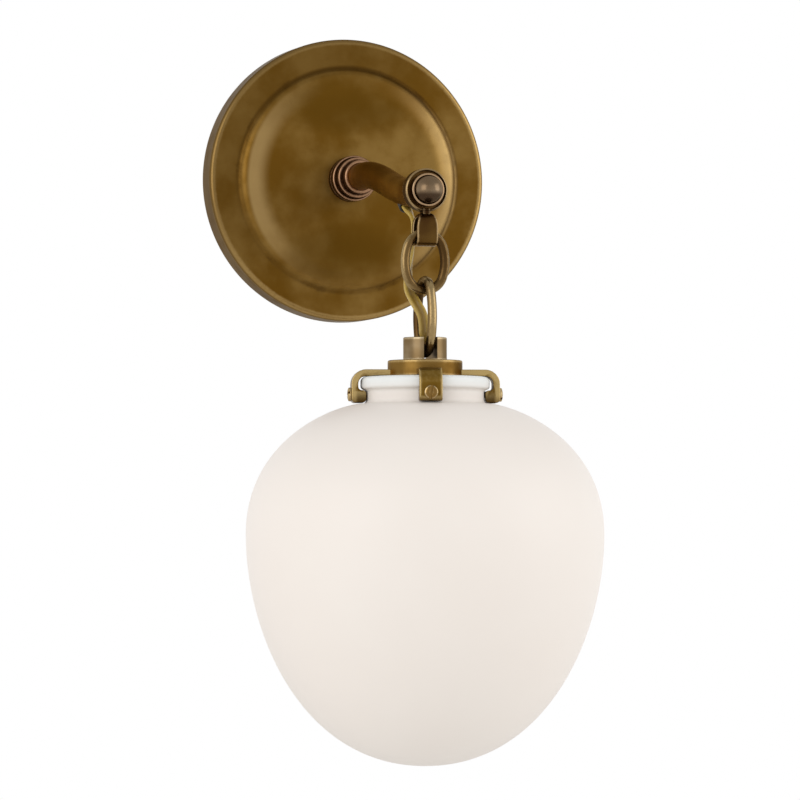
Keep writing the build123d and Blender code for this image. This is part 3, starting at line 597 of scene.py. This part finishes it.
eye_r, eye_bore, dish_r, dish_out = 9.8, journal_r + 0.05, 9.1, eye_front - 2.0
eye = spin_y(
    "eye",
    [
        (eye_bore, eye_back, 0.2), (eye_r, eye_back, 0.6), (eye_r, eye_front, 0.8),
        (dish_r, eye_front, 0.2), (dish_r, dish_out, 0.3), (eye_bore, dish_out, 0.2),
    ],
    z=hub_z, columns=144,
)
line_y, line_z = (strap_depth - strap_thick) / 2, strap_thick / 2
loop_low, loop_high = stirrup_bottom + line_z, stirrup_top - line_z
loop_line, _ = rounded(
    [
        (-line_y, loop_low, 3.0), (line_y, loop_low, 3.0), (line_y, loop_high, 3.0),
        (-line_y, loop_high, 3.0),
    ],
    pitch=0.5, steps=12,
)
along = tangent_round(loop_line)
zero = np.zeros(len(along))
loop_centre = np.stack([zero, loop_line[:, 0] - reach, loop_line[:, 1]], -1)
loop_normal = np.stack([zero, along[:, 1], -along[:, 0]], -1)
strap = carried_bar("strap", loop_centre, loop_normal, strap_thick / 2, shoulder_width, 0.3)
neck_z = np.linspace(stirrup_top - 0.9, hub_z - 8.2, 6)
neck_line = np.stack([0 * neck_z, 0 * neck_z - reach, neck_z], -1)
neck_normal = np.tile([0.0, 1.0, 0.0], (len(neck_z), 1))
neck = carried_bar("neck", neck_line, neck_normal, 3.3, neck_half, 0.6, closed=False)
stirrup = joined("hanger_stirrup_brazed", eye, strap, neck)
stirrup_brass = aged_brass(
    "stirrup_brass", ink(60, 36, 14), ink(98, 72, 32), ink(184, 156, 112), 0.28, 1.5
)
# Painted shade on the neck and the top of the strap, under the eye.
neck_shade = stirrup_brass.between(
    stirrup_brass.axis(2), ((stirrup_top - 2.0) * mm, (stirrup_top + 0.3) * mm),
    ((hub_z - 9.4) * mm, (hub_z - 7.8) * mm),
)
stirrup_brass.paint_over(neck_shade, ink(44, 24, 8), 0.85)
stirrup_brass.dress(stirrup)
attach(stirrup, "stirrup")
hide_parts("hanger_stirrup")

# ---------------------------------------------------------------------------------------
# Links: two oval rings bent from round brass wire and closed, the lower one longer and a
# quarter turn to the upper. Their outer sides are rubbed, their inner sides stay dark.
wire_r, bow_r = 2.1, 9.3


def oval_link(name, length, middle_z, end_r, turn):
    """A closed oval of round wire, its line made of four arcs: two of end_r, two wider ones.

    The wide arcs are tangent to the ends and bow_r from the middle. A point is line +
    (outward cos t + sideways sin t) * wire_r, with t once round the wire. The oval's plane is
    turned about the vertical by the angle turn.
    """
    half = length / 2 - wire_r
    rise = half - end_r
    side_r = (bow_r**2 + rise**2 - end_r**2) / (2 * (bow_r - end_r))
    join = np.arctan2(side_r - bow_r, rise)
    swing = np.linspace(-join, join, 49)
    lean = np.linspace(pi / 2 - join, join - pi / 2, 30)[1:-1]
    bow = np.stack([end_r * np.sin(swing), rise + end_r * np.cos(swing)], -1)
    down = np.stack([bow_r - side_r + side_r * np.cos(lean), side_r * np.sin(lean)], -1)
    line = np.concatenate([bow, down, -bow, -down])
    along = tangent_round(line)
    outward = np.stack([-along[:, 1], along[:, 0]], -1)
    t = np.linspace(0, 2 * pi, 40, endpoint=False)
    flat = line[:, None] + outward[:, None] * (wire_r * np.cos(t))[None, :, None]
    side = np.broadcast_to(wire_r * np.sin(t), flat.shape[:2])
    x = flat[..., 0] * cos(turn) - side * sin(turn)
    y = flat[..., 0] * sin(turn) + side * cos(turn)
    return surface(name, np.stack([x, y - reach, flat[..., 1] + middle_z], -1), 0.75 * np.cos(t)[None])


upper_box, lower_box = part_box("upper_link"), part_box("lower_link")
upper_middle = (upper_box[0][2] + upper_box[1][2]) / 2 / mm
lower_middle = (lower_box[0][2] + lower_box[1][2]) / 2 / mm
upper_link = oval_link("upper_link_bent", 29.9, upper_middle, 8.6, 0.0)
lower_link = oval_link("lower_link_bent", 37.0, lower_middle, 7.8, radians(95))
link_brass = aged_brass("link_brass", ink(76, 54, 26), ink(114, 90, 54), ink(184, 160, 114), 0.28, 1.9)
link_brass.dress(upper_link, lower_link)
for piece, node in ((upper_link, "upper_link"), (lower_link, "lower_link")):
    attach(piece, node)
    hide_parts(node)

# ---------------------------------------------------------------------------------------
# Swivel cap: a turned brass block, slotted across for the lower link. A brass pin through
# both cheeks carries the link, and the cord enters the slot's wall on a slant.
cap_low, cap_top, cap_r = -90.597, -80.197, 9.85
slot_floor, slot_half, slot_long = -89.997, 3.1, 12.0
stud_r, stud_low = 3.0, -102.997
pin_r, pin_half, pin_play = 1.5, 9.75, 0.15
pin_z = lower_box[0][2] / mm + 2 * wire_r + pin_play + pin_r
backward, drop = np.array([0.0, 1, 0]), np.array([0.0, -reach, 0.0])


def hanging_spin(name, corners, columns=128, pitch=0.5):
    """A turned piece about the line that the shade hangs on: a corner is (radius, height)."""
    return spin_about(name, corners, drop, upright, sideward, backward, columns, pitch)


def block(name, low, high):
    """A plain box between two corners, used to cut slots."""
    mesh = bpy.data.meshes.new(name)
    work = bmesh.new()
    bmesh.ops.create_cube(work, size=1.0)
    size = (Vector(high) - Vector(low)) * mm
    bmesh.ops.scale(work, vec=size, verts=work.verts)
    bmesh.ops.translate(work, vec=(Vector(high) + Vector(low)) / 2 * mm, verts=work.verts)
    work.to_mesh(mesh)
    work.free()
    piece = bpy.data.objects.new(name, mesh)
    bpy.context.scene.collection.objects.link(piece)
    return piece


cap = hanging_spin(
    "swivel_cap_slotted",
    [
        (0.0, stud_low, 0.0), (stud_r, stud_low, 0.4), (stud_r, cap_low, sharp),
        (cap_r, cap_low, 0.3), (cap_r, cap_top, 0.5), (0.0, cap_top, 0.0),
    ],
)
slot_low = (-slot_half, -reach - slot_long, slot_floor)
cut(cap, block("slot", slot_low, (slot_half, -reach + slot_long, cap_top + 2)))
softened = cap.modifiers.new("softened", "BEVEL")
softened.width, softened.segments, softened.limit_method = 0.22 * mm, 2, "ANGLE"
softened.angle_limit = radians(50)
pin = spin_about(
    "cross_pin_turned",
    [(0, -pin_half, 0), (pin_r, -pin_half, 0.3), (pin_r, pin_half, 0.3), (0, pin_half, 0)],
    drop + upright * pin_z, sideward, backward, upright,
)
cap_brass = aged_brass("cap_brass", ink(120, 98, 66), ink(164, 148, 120), ink(206, 188, 154), 0.38, 2.3)
cap_brass.dress(cap)
pin_brass = aged_brass("pin_brass", ink(84, 56, 22), ink(124, 98, 56), ink(190, 160, 110), 0.30, 2.6)
pin_brass.dress(pin)
for piece, node, slot in ((cap, "swivel_cap", "aged_brass"), (pin, "cross_pin", "brass_screws")):
    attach(piece, "shade")
    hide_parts(node)

# ---------------------------------------------------------------------------------------
# Shade holder: a turned brass disk, clamped under the cap by its stud, with four arms cut
# and bent from flat bar and soldered into slots in its underside. Each arm ends in a lug.
disk_low, disk_r, disk_bore = -97.797, 16.9, stud_r + 0.05
arm_start, arm_thick, arm_reach, arm_low = 9.0, 3.0, 33.5, -109.797
arm_top, lug_in, lug_top, lug_edge = disk_low + arm_thick, 26.9, -104.197, 1.6
arm_half, arm_edge, arm_turn = 5.15, 0.35, -11.0
disk = hanging_spin(
    "holder_disk_turned",
    [
        (disk_bore, disk_low, sharp), (disk_r, disk_low, 0.3), (disk_r, cap_low, 0.7),
        (disk_bore, cap_low, sharp),
    ],
    columns=176,
)


def slab(name, corners, half, edge, away, across):
    """A shape cut from thick plate: an upright outline, as wide as twice half, edges rounded.

    A point is drop + away * x + upright * z + across * b; towards each side the outline is
    drawn inwards along its own normal by edge (1 - cos phi).
    """
    outline, bend = rounded(corners, pitch=0.8)
    along = tangent_round(outline)
    inward = np.stack([-along[:, 1], along[:, 0]], -1) * np.sign(signed_area(outline))
    phi = np.linspace(pi / 2, 0, 6)
    inset = np.concatenate([edge * (1 - np.cos(phi)), [0, 0, 0, 0], edge * (1 - np.cos(phi[::-1]))])
    b = np.concatenate([
        -half + edge * (1 - np.sin(phi)), [-half + edge + 0.4, -half + edge + 1.0],
        [half - edge - 1.0, half - edge - 0.4], half - edge * (1 - np.sin(phi[::-1])),
    ])
    rub = np.concatenate([np.ones(6), [0.5, 0, 0, 0.5], np.ones(6)])
    flat = outline[None] + inward[None] * inset[:, None, None]
    grid = drop + flat[..., :1] * away + flat[..., 1:] * upright + b[:, None, None] * across
    spread = np.maximum(rub[:, None], bend[None]) + np.minimum(bend[None], 0)
    return surface(name, grid, np.clip(spread, -1, 1), close_rows=False)


arm_brass = aged_brass("arm_brass", ink(98, 68, 14), ink(132, 104, 42), ink(200, 174, 118), 0.34, 3.1)
disk_brass = aged_brass("disk_brass", ink(88, 60, 14), ink(126, 96, 46), ink(190, 162, 110), 0.36, 2.9)
arm_x, arm_y, arm_z = arm_brass.axis(0), arm_brass.axis(1) + reach * mm, arm_brass.axis(2)
arm_far = (arm_x * arm_x + arm_y * arm_y) ** 0.5
# Painted shadow on each lug and on the inner face of each arm's leg, low down.
under = 1.0 - arm_brass.step(arm_z, arm_low * mm, (lug_top + 2.0) * mm)
inner = 1.0 - arm_brass.step(arm_far, (arm_reach - 2.6) * mm, (arm_reach - 1.0) * mm)
arm_brass.paint_over(under * inner, ink(48, 28, 6), 0.85)
# Painted shade along the bottom 4 mm of every arm.
arm_brass.paint_over(1.0 - arm_brass.step(arm_z, arm_low * mm, (arm_low + 4.0) * mm), ink(74, 50, 8), 0.6)
disk_brass.dress(disk)
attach(disk, "shade")
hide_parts("holder_disk")
arm_ways = []
for number in range(4):
    angle = radians(arm_turn + 90 * number)
    away = np.array([sin(angle), -cos(angle), 0.0])
    across = np.array([cos(angle), sin(angle), 0.0])
    arm_ways.append((away, across))
    arm = slab(
        f"holder_arm_{number + 1}_bent",
        [
            (arm_start, disk_low, sharp), (arm_reach - arm_thick, disk_low, 3.5),
            (arm_reach - arm_thick, lug_top, lug_edge), (lug_in, lug_top, lug_edge),
            (lug_in, arm_low, lug_edge), (arm_reach, arm_low, lug_edge), (arm_reach, arm_top, 6.5),
            (arm_start, arm_top, sharp),
        ],
        arm_half, arm_edge, away, across,
    )
    arm_brass.dress(arm)
    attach(arm, "shade")
    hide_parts(f"holder_arm_{number + 1}")

# ---------------------------------------------------------------------------------------
# Grip screws: four slotted brass screws with low domed heads, one through each lug, whose
# points press on the glass below its lip.
screw_z, head_r, head_high, groove_half, groove_deep = arm_low + 3.8, 3.1, 1.6, 0.5, 1.1
shank_r, tip_r, tip_in, lug_face = 1.5, 1.0, 26.65 - arm_reach, lug_in - arm_reach
four_screws = []
for (away, across), slot_turn in zip(arm_ways, (8.0, 52.0, -30.0, 74.0)):
    seat = drop + upright * screw_z + away * arm_reach
    screw = spin_about(
        "screw",
        [
            (0.0, tip_in, 0.0), (tip_r, tip_in, 0.2), (shank_r, lug_face, 0.2), (shank_r, 0.0, sharp),
            (head_r, 0.0, 0.25), (head_r, head_high - 0.5, 0.5), (head_r * 0.6, head_high, 3.0),
            (0.0, head_high, 0.0),
        ],
        seat, away, across, upright, columns=48, pitch=0.3,
    )
    turn = radians(slot_turn)
    long_way = across * sin(turn) + upright * cos(turn)
    wide_way = across * cos(turn) - upright * sin(turn)
    groove_floor = head_high - groove_deep
    groove = block("groove", (-groove_half, -4.0, groove_floor), (groove_half, 4.0, 3.0))
    axes = Matrix((wide_way, long_way, away)).transposed().to_4x4()
    groove.data.transform(Matrix.Translation(Vector(seat) * mm) @ axes)
    cut(screw, groove)
    four_screws.append(screw)
screws = joined("grip_screws_slotted", *four_screws)
screw_brass = aged_brass(
    "screw_brass", ink(128, 98, 50), ink(172, 144, 94), ink(224, 202, 156), 0.26, 3.7
)
screw_brass.dress(screws)
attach(screws, "shade")
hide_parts("grip_screws")

# ---------------------------------------------------------------------------------------
# Shade: mouth-blown opal glass, etched to a satin skin. It has a rolled lip, a short neck
# and a shelf, and swells into an acorn shape. The neck and the lip are painted a little darker
# as painted shade under the holder, and the lip is also a little cooler.
lip_top, lip_r, lip_edge, throat_r = disk_low - 0.3, 29.15, 1.5, 26.6
lip_under, throat_top = lip_top - 5.2, lip_top - 6.2
shelf_z, shelf_r, shelf_past = -110.297, 30.0, 2.0
globe_r, globe_low, belly_z = 80.8, -273.297, -168.997
glass_wall, neck_in = 3.0, throat_r - 2.6


def bezier(p0, p1, p2, p3, count):
    """A cubic curve from p0 to p3 that leaves towards p1 and arrives from p2."""
    t = np.linspace(0, 1, count)[:, None]
    p0, p1, p2, p3 = (np.array(p, float) for p in (p0, p1, p2, p3))
    return (1 - t) ** 3 * p0 + 3 * (1 - t) ** 2 * t * p1 + 3 * (1 - t) * t**2 * p2 + t**3 * p3


def globe_wall_line(inset, count):
    """The globe's outline from its shelf down to its tip, drawn inwards by inset."""
    shelf, wide, tip = shelf_z - inset, globe_r - inset, globe_low + inset
    upper = bezier(
        (shelf_r, shelf), (shelf_r + 11.0, shelf - 0.8), (wide, belly_z + 43.0), (wide, belly_z), count
    )
    lower = bezier((wide, belly_z), (wide, belly_z - 44.0), (56.0 - inset, tip), (0.0, tip), count)
    return np.concatenate([upper, lower[1:]])


mouth, _ = rounded(
    [
        (neck_in, shelf_z - glass_wall, 2.0), (neck_in, lip_top, 1.1), (lip_r, lip_top, 2.2),
        (lip_r, lip_under, lip_edge), (throat_r, throat_top, lip_edge), (throat_r, shelf_z, 2.0),
        (shelf_r + shelf_past, shelf_z, sharp), (shelf_r + shelf_past, shelf_z - glass_wall, sharp),
    ],
    pitch=0.8, steps=10,
)
mouth = mouth[mouth[:, 0] < shelf_r - 0.2]
outside, inside = globe_wall_line(0.0, 56), globe_wall_line(glass_wall, 56)
first = np.argmin(np.hypot(mouth[:, 0] - shelf_r, mouth[:, 1] - (shelf_z - glass_wall)))
# This run starts on the shelf and ends under it, so the two skins cross over 0.6 mm there.
mouth = np.roll(mouth, -first, 0)[::-1]
profile = np.concatenate([inside[::-1], mouth, outside])
t = np.linspace(0, 2 * pi, 224, endpoint=False)
glass_r, glass_z = profile[:, :1], profile[:, 1:]
glass_grid = np.stack([glass_r * np.cos(t), glass_r * np.sin(t) - reach, glass_z + 0 * t], -1)
shade = surface("opal_shade", glass_grid, close_rows=False)
opal = Finish("opal_satin")
height, cloud = opal.axis(2), opal.noise(opal.where(), 14.0, 2.0)
# Painted shade: the neck and the lip a little darker, the lip also cooler.
neck_glass_shade = opal.step(height, (shelf_z - 2.5) * mm, (shelf_z + 1.5) * mm)
lip_shade_and_tint = opal.step(height, (lip_top - 9.0) * mm, (lip_top - 1.0) * mm)
glass_tone = opal.blend(cloud, ink(236, 227, 219), ink(239, 232, 225))
glass_tone = opal.blend(neck_glass_shade, glass_tone, ink(230, 223, 216))
glass_tone = opal.blend(lip_shade_and_tint, glass_tone, ink(229, 231, 229))
opal.dress(
    shade, Base_Color=glass_tone, Roughness=0.46 + 0.06 * cloud, Coat_Weight=0.12, Coat_Roughness=0.42,
    IOR=1.45,
)
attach(shade, "shade")
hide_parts("glass_shade")

# ---------------------------------------------------------------------------------------
# Cord: a flat twin cord in clear gold plastic over two stranded cores. It comes out of the
# bush, hangs slack behind the stirrup and the links, and goes into the wall of the cap's slot.
cord_wide, cord_thick = 4.8, 2.2
cord_route = np.array([
    (0.0, -102.554, -13.457), (0.0, -111.107, -14.0), (0.0, -121.5, -21.4), (-0.6, -131.0, -25.0),
    (-1.6, -136.6, -28.5), (-2.4, -138.6, -35.3), (-3.0, -137.4, -43.5), (-4.2, -136.6, -51.2),
    (-5.0, -140.2, -58.2), (-3.2, -145.0, -64.0), (-0.2, -146.6, -69.4), (0.6, -146.4, -75.0),
    (0.7, -146.2, -79.4), (3.9, -145.8, -83.2),
])
seam_after = (3, 7)


def smooth_line(points):
    """The NURBS curve of order 3 with these control points, as an array of points in mm."""
    curve = bpy.data.curves.new("cord_line", "CURVE")
    curve.dimensions, curve.resolution_u = "3D", 24
    spline = curve.splines.new("NURBS")
    spline.points.add(len(points) - 1)
    spline.points.foreach_set("co", np.array([(*p, 1.0) for p in points], float).ravel())
    spline.order_u, spline.use_endpoint_u = 3, True
    holder = bpy.data.objects.new("cord_line", curve)
    bpy.context.scene.collection.objects.link(holder)
    mesh = bpy.data.meshes.new_from_object(holder)
    line = np.array([v.co for v in mesh.vertices])
    bpy.data.objects.remove(holder)
    bpy.data.meshes.remove(mesh)
    return line


def twin_section(count=48):
    """Two round cores side by side: a blunt oval whose thickness dips by 0.3 in the middle."""
    t = np.linspace(0, 2 * pi, count, endpoint=False)
    a = cord_wide / 2 * np.sign(np.cos(t)) * np.abs(np.cos(t)) ** 0.85
    b = cord_thick / 2 * np.sign(np.sin(t)) * np.abs(np.sin(t)) ** 0.6
    return a, b * (1 - 0.30 * np.exp(-((a / 0.75) ** 2)))


def flat_cord(name, line, twist):
    """The twin section along the line; its wide side starts level and turns by twist."""
    tangent = unit(np.gradient(line, axis=0))
    side = unit(sideward - tangent * tangent[:, :1])
    lift = np.cross(tangent, side)
    wide = side * np.cos(twist)[:, None] + lift * np.sin(twist)[:, None]
    thin = np.cross(tangent, wide)
    a, b = twin_section()
    grid = line[:, None] + wide[:, None] * a[None, :, None] + thin[:, None] * b[None, :, None]
    # Lighter towards the two outer edges, a painted highlight, and darker in the groove between the
    # cores, painted shade.
    edge_light = 1.6 * np.abs(a) / (cord_wide / 2) - 0.8
    return surface(name, grid, edge_light[None], close_rows=False)


cord_line = smooth_line(cord_route)
seams = [(cord_route[i] + cord_route[i + 1]) / 2 for i in seam_after]
marks = [0, *(int(np.argmin(np.linalg.norm(cord_line - m, axis=1))) for m in seams), len(cord_line) - 1]
travel = np.concatenate([[0], np.cumsum(np.linalg.norm(np.diff(cord_line, axis=0), axis=1))])
share = travel / travel[-1]
edge_on, flat_on, smoothed = radians(-74), radians(14), 20
turns = {0: 0, 0.16: 0, 0.34: edge_on, 0.56: edge_on, 0.74: flat_on, 1: flat_on}
cord_twist = np.interp(share, list(turns), list(turns.values()))
window = np.full(2 * smoothed + 1, 1 / (2 * smoothed + 1))
cord_twist = np.convolve(np.pad(cord_twist, smoothed, "edge"), window, "valid")
gold = Finish("gold_cord_plastic")
strands = gold.node("ShaderNodeTexWave", {"bands_direction": "DIAGONAL"}, {
    "Vector": gold.where(), "Scale": 420.0, "Distortion": 1.5, "Detail": 2.0,
})
fleck = gold.noise(gold.where(), 700.0, 3.0)
edge_highlight_groove_shade = gold.node("ShaderNodeAttribute", {"attribute_name": "bend"}, {}, output=2)
# Painted highlight on the cord's outer edges and painted shade in the groove between its cores.
gold_tone = gold.blend(gold.step(edge_highlight_groove_shade, -0.5, 0.7), ink(120, 93, 28), ink(188, 158, 70))
gold_tone = gold.blend(0.35 * fleck, gold_tone, ink(146, 112, 34))
gold_normal = gold.bump(strands, 0.12, 0.0002)
stretches = (
    ("cord_upper", "root", "stirrup"), ("cord_middle", "stirrup", "upper_link"),
    ("cord_lower", "upper_link", "lower_link"),
)
for (node, body, next_body), start, stop in zip(stretches, marks, marks[1:]):
    span = cord_line[start : stop + 1]
    piece = flat_cord(f"{node}_flat", span, cord_twist[start : stop + 1])
    gold.dress(piece, Base_Color=gold_tone, Roughness=0.46, Normal=gold_normal, Coat_Weight=0.1)
    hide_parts(node)
    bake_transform(piece)

# ---------------------------------------------------------------------------------------
# Leads: the same cord inside the stem and inside the lamp holder. Both are hidden, and keep
# the plain round form that they have in the solids.
for node in ("stem_lead", "socket_lead"):
    gold.dress(nodes[node])

# ---------------------------------------------------------------------------------------
# Wall bracket, nipple, washer and nuts: zinc-plated steel pressings and turnings that the
# canopy hides. The earth screw is coated green, and grub screws hold the canopy's rim.
zinc = Finish("zinc_plate")
spangle = zinc.noise(zinc.where(), 260.0, 5.0, 0.65)
streak = zinc.noise(zinc.stretched(900.0, 900.0, 60.0), 1.0, 2.0)
hidden_steel = ("wall_bracket", "stem_nipple", "lock_washer", "nipple_nut", "socket_nut")
zinc.dress(
    *[nodes[n] for n in hidden_steel], Roughness=0.28 + 0.18 * spangle, Metallic=1.0,
    Base_Color=zinc.blend(spangle, ink(150, 152, 150), ink(200, 200, 196)),
    Normal=zinc.bump(streak, 0.06, 0.0001),
)
green = Finish("earth_green")
green_cloud = green.noise(green.where(), 800.0, 3.0)
green.dress(
    nodes["ground_screw"], Base_Color=green.blend(green_cloud, ink(24, 92, 44), ink(52, 128, 70)),
    Roughness=0.35 + 0.15 * green_cloud, Metallic=0.6,
)
screw_brass.dress(nodes["canopy_set_screws"])

# ---------------------------------------------------------------------------------------
# Lamp holder: a brass cup over a glazed porcelain body with a threaded brass shell and a
# spring contact. It can be seen only from above, through the gap beside the disk.
disk_brass.dress(nodes["socket_cup"])
porcelain = Finish("porcelain_glaze")
pits = porcelain.noise(porcelain.where(), 420.0, 4.0)
porcelain.dress(
    nodes["socket_body"], Base_Color=porcelain.blend(pits, ink(228, 225, 218), ink(242, 240, 234)),
    Roughness=0.12 + 0.08 * pits, Normal=porcelain.bump(pits, 0.05, 0.0001), Coat_Weight=0.5,
)
drawn = Finish("drawn_brass")
draw_lines = drawn.noise(drawn.stretched(1.0, 1.0, 30.0), 120.0, 2.0)
drawn.dress(
    nodes["socket_shell"], nodes["socket_contact"], Metallic=1.0, Roughness=0.22 + 0.12 * draw_lines,
    Base_Color=drawn.blend(draw_lines, ink(196, 160, 88), ink(226, 196, 124)),
)

# ---------------------------------------------------------------------------------------
# Lamp: a slim frosted bulb on a plated screw base. The opal glass hides it, so it gets plain
# satin finishes and no light of its own.
base_metal = Finish("lamp_base_metal")
thread = base_metal.node(
    "ShaderNodeTexWave", {"bands_direction": "Z"}, {"Vector": base_metal.where(), "Scale": 88.0}
)
base_metal.dress(
    nodes["lamp_base"], Metallic=1.0, Roughness=0.3 + 0.1 * thread,
    Base_Color=base_metal.blend(thread, ink(170, 168, 160), ink(206, 204, 196)),
    Normal=base_metal.bump(thread, 0.5, 0.0008),
)
frost = Finish("frosted_bulb")
frost_grain = frost.noise(frost.where(), 1800.0, 2.0)
frost.dress(
    nodes["lamp_bulb"], Base_Color=frost.blend(frost_grain, ink(236, 234, 230), ink(246, 245, 242)),
    Roughness=0.5 + 0.1 * frost_grain,
)

# ---------------------------------------------------------------------------------------
# Studio: a pale round floor below the shade, two soft boxes beside the camera, and a white
# surround that is dimmer overhead, underfoot and behind the camera.
floor_z, floor_r, floor_low = -420.0, 1500.0, -428.0
floor = hanging_spin(
    "studio_floor",
    [(0.0, floor_low, 0.0), (floor_r, floor_low, 1.0), (floor_r, floor_z, 3.0), (0.0, floor_z, 0.0)],
    columns=128, pitch=60.0,
)
paper = Finish("floor_paper")
fibre = paper.noise(paper.where(), 60.0, 4.0)
paper.dress(floor, Base_Color=paper.blend(fibre, ink(242, 241, 239), ink(246, 245, 243)), Roughness=0.8)


def soft_box(name, place, size, power):
    """A square lamp at a place, aimed at the middle of the object."""
    lamp = bpy.data.lights.new(name, "AREA")
    lamp.shape, lamp.size, lamp.energy = "SQUARE", size, power
    box = bpy.data.objects.new(name, lamp)
    box.location = place
    aim_at = Vector((0.0, -0.1, -0.1))
    box.rotation_euler = (aim_at - Vector(place)).to_track_quat("-Z", "Y").to_euler()
    bpy.context.scene.collection.objects.link(box)


soft_box("left_box", (-1.6, -1.1, 0.45), 1.4, 9.5)
soft_box("right_box", (1.5, -0.9, 0.35), 1.3, 7.5)

air = Finish("studio_air", "worlds", "Background")
bpy.context.scene.world = air.owner
way = air.node("ShaderNodeTexCoord", {}, {}, output=0)
side_y, side_z = (air.node("ShaderNodeSeparateXYZ", {}, {"Vector": way}, output=o) for o in (1, 2))
seen, through = (air.node("ShaderNodeLightPath", {}, {}, output=o) for o in (0, 6))
steep, behind = air.step(side_z * side_z, 0.02, 0.6), air.step(0.0 - side_y, 0.3, 1.0)
studio = (1.0 - 0.36 * steep) * (1.0 - 0.10 * behind)
plain = (seen + through).maths("MINIMUM", 1.0)
white = (1.0, 1.0, 1.0, 1.0)
air.fill(air.shader, {"Color": white, "Strength": plain + (1.0 - plain) * studio})
bpy.context.scene.view_settings.view_transform = "Standard"

# ---------------------------------------------------------------------------------------
# Camera: the photograph's view, level with the shade and a little to the left, from far
# enough away that the perspective is slight.
lens, sensor, camera_distance = 285.0, 36.0, 3.005
azimuth, elevation = radians(-15.5), radians(-2.0)
aim_right, aim_up = 0.0288, -0.1033
back = Vector((sin(azimuth) * cos(elevation), -cos(azimuth) * cos(elevation), sin(elevation)))
right = Vector((cos(azimuth), sin(azimuth), 0.0))
up = back.cross(right)
camera_data = bpy.data.cameras.new("camera")
camera_data.lens, camera_data.sensor_width = lens, sensor
camera_data.clip_end = 50.0
camera = bpy.data.objects.new("camera", camera_data)
aim = right * aim_right + up * aim_up
camera.matrix_world = Matrix.LocRotScale(
    aim + back * camera_distance, Matrix((right, up, back)).transposed(), None
)
bpy.context.scene.collection.objects.link(camera)
bpy.context.scene.camera = camera
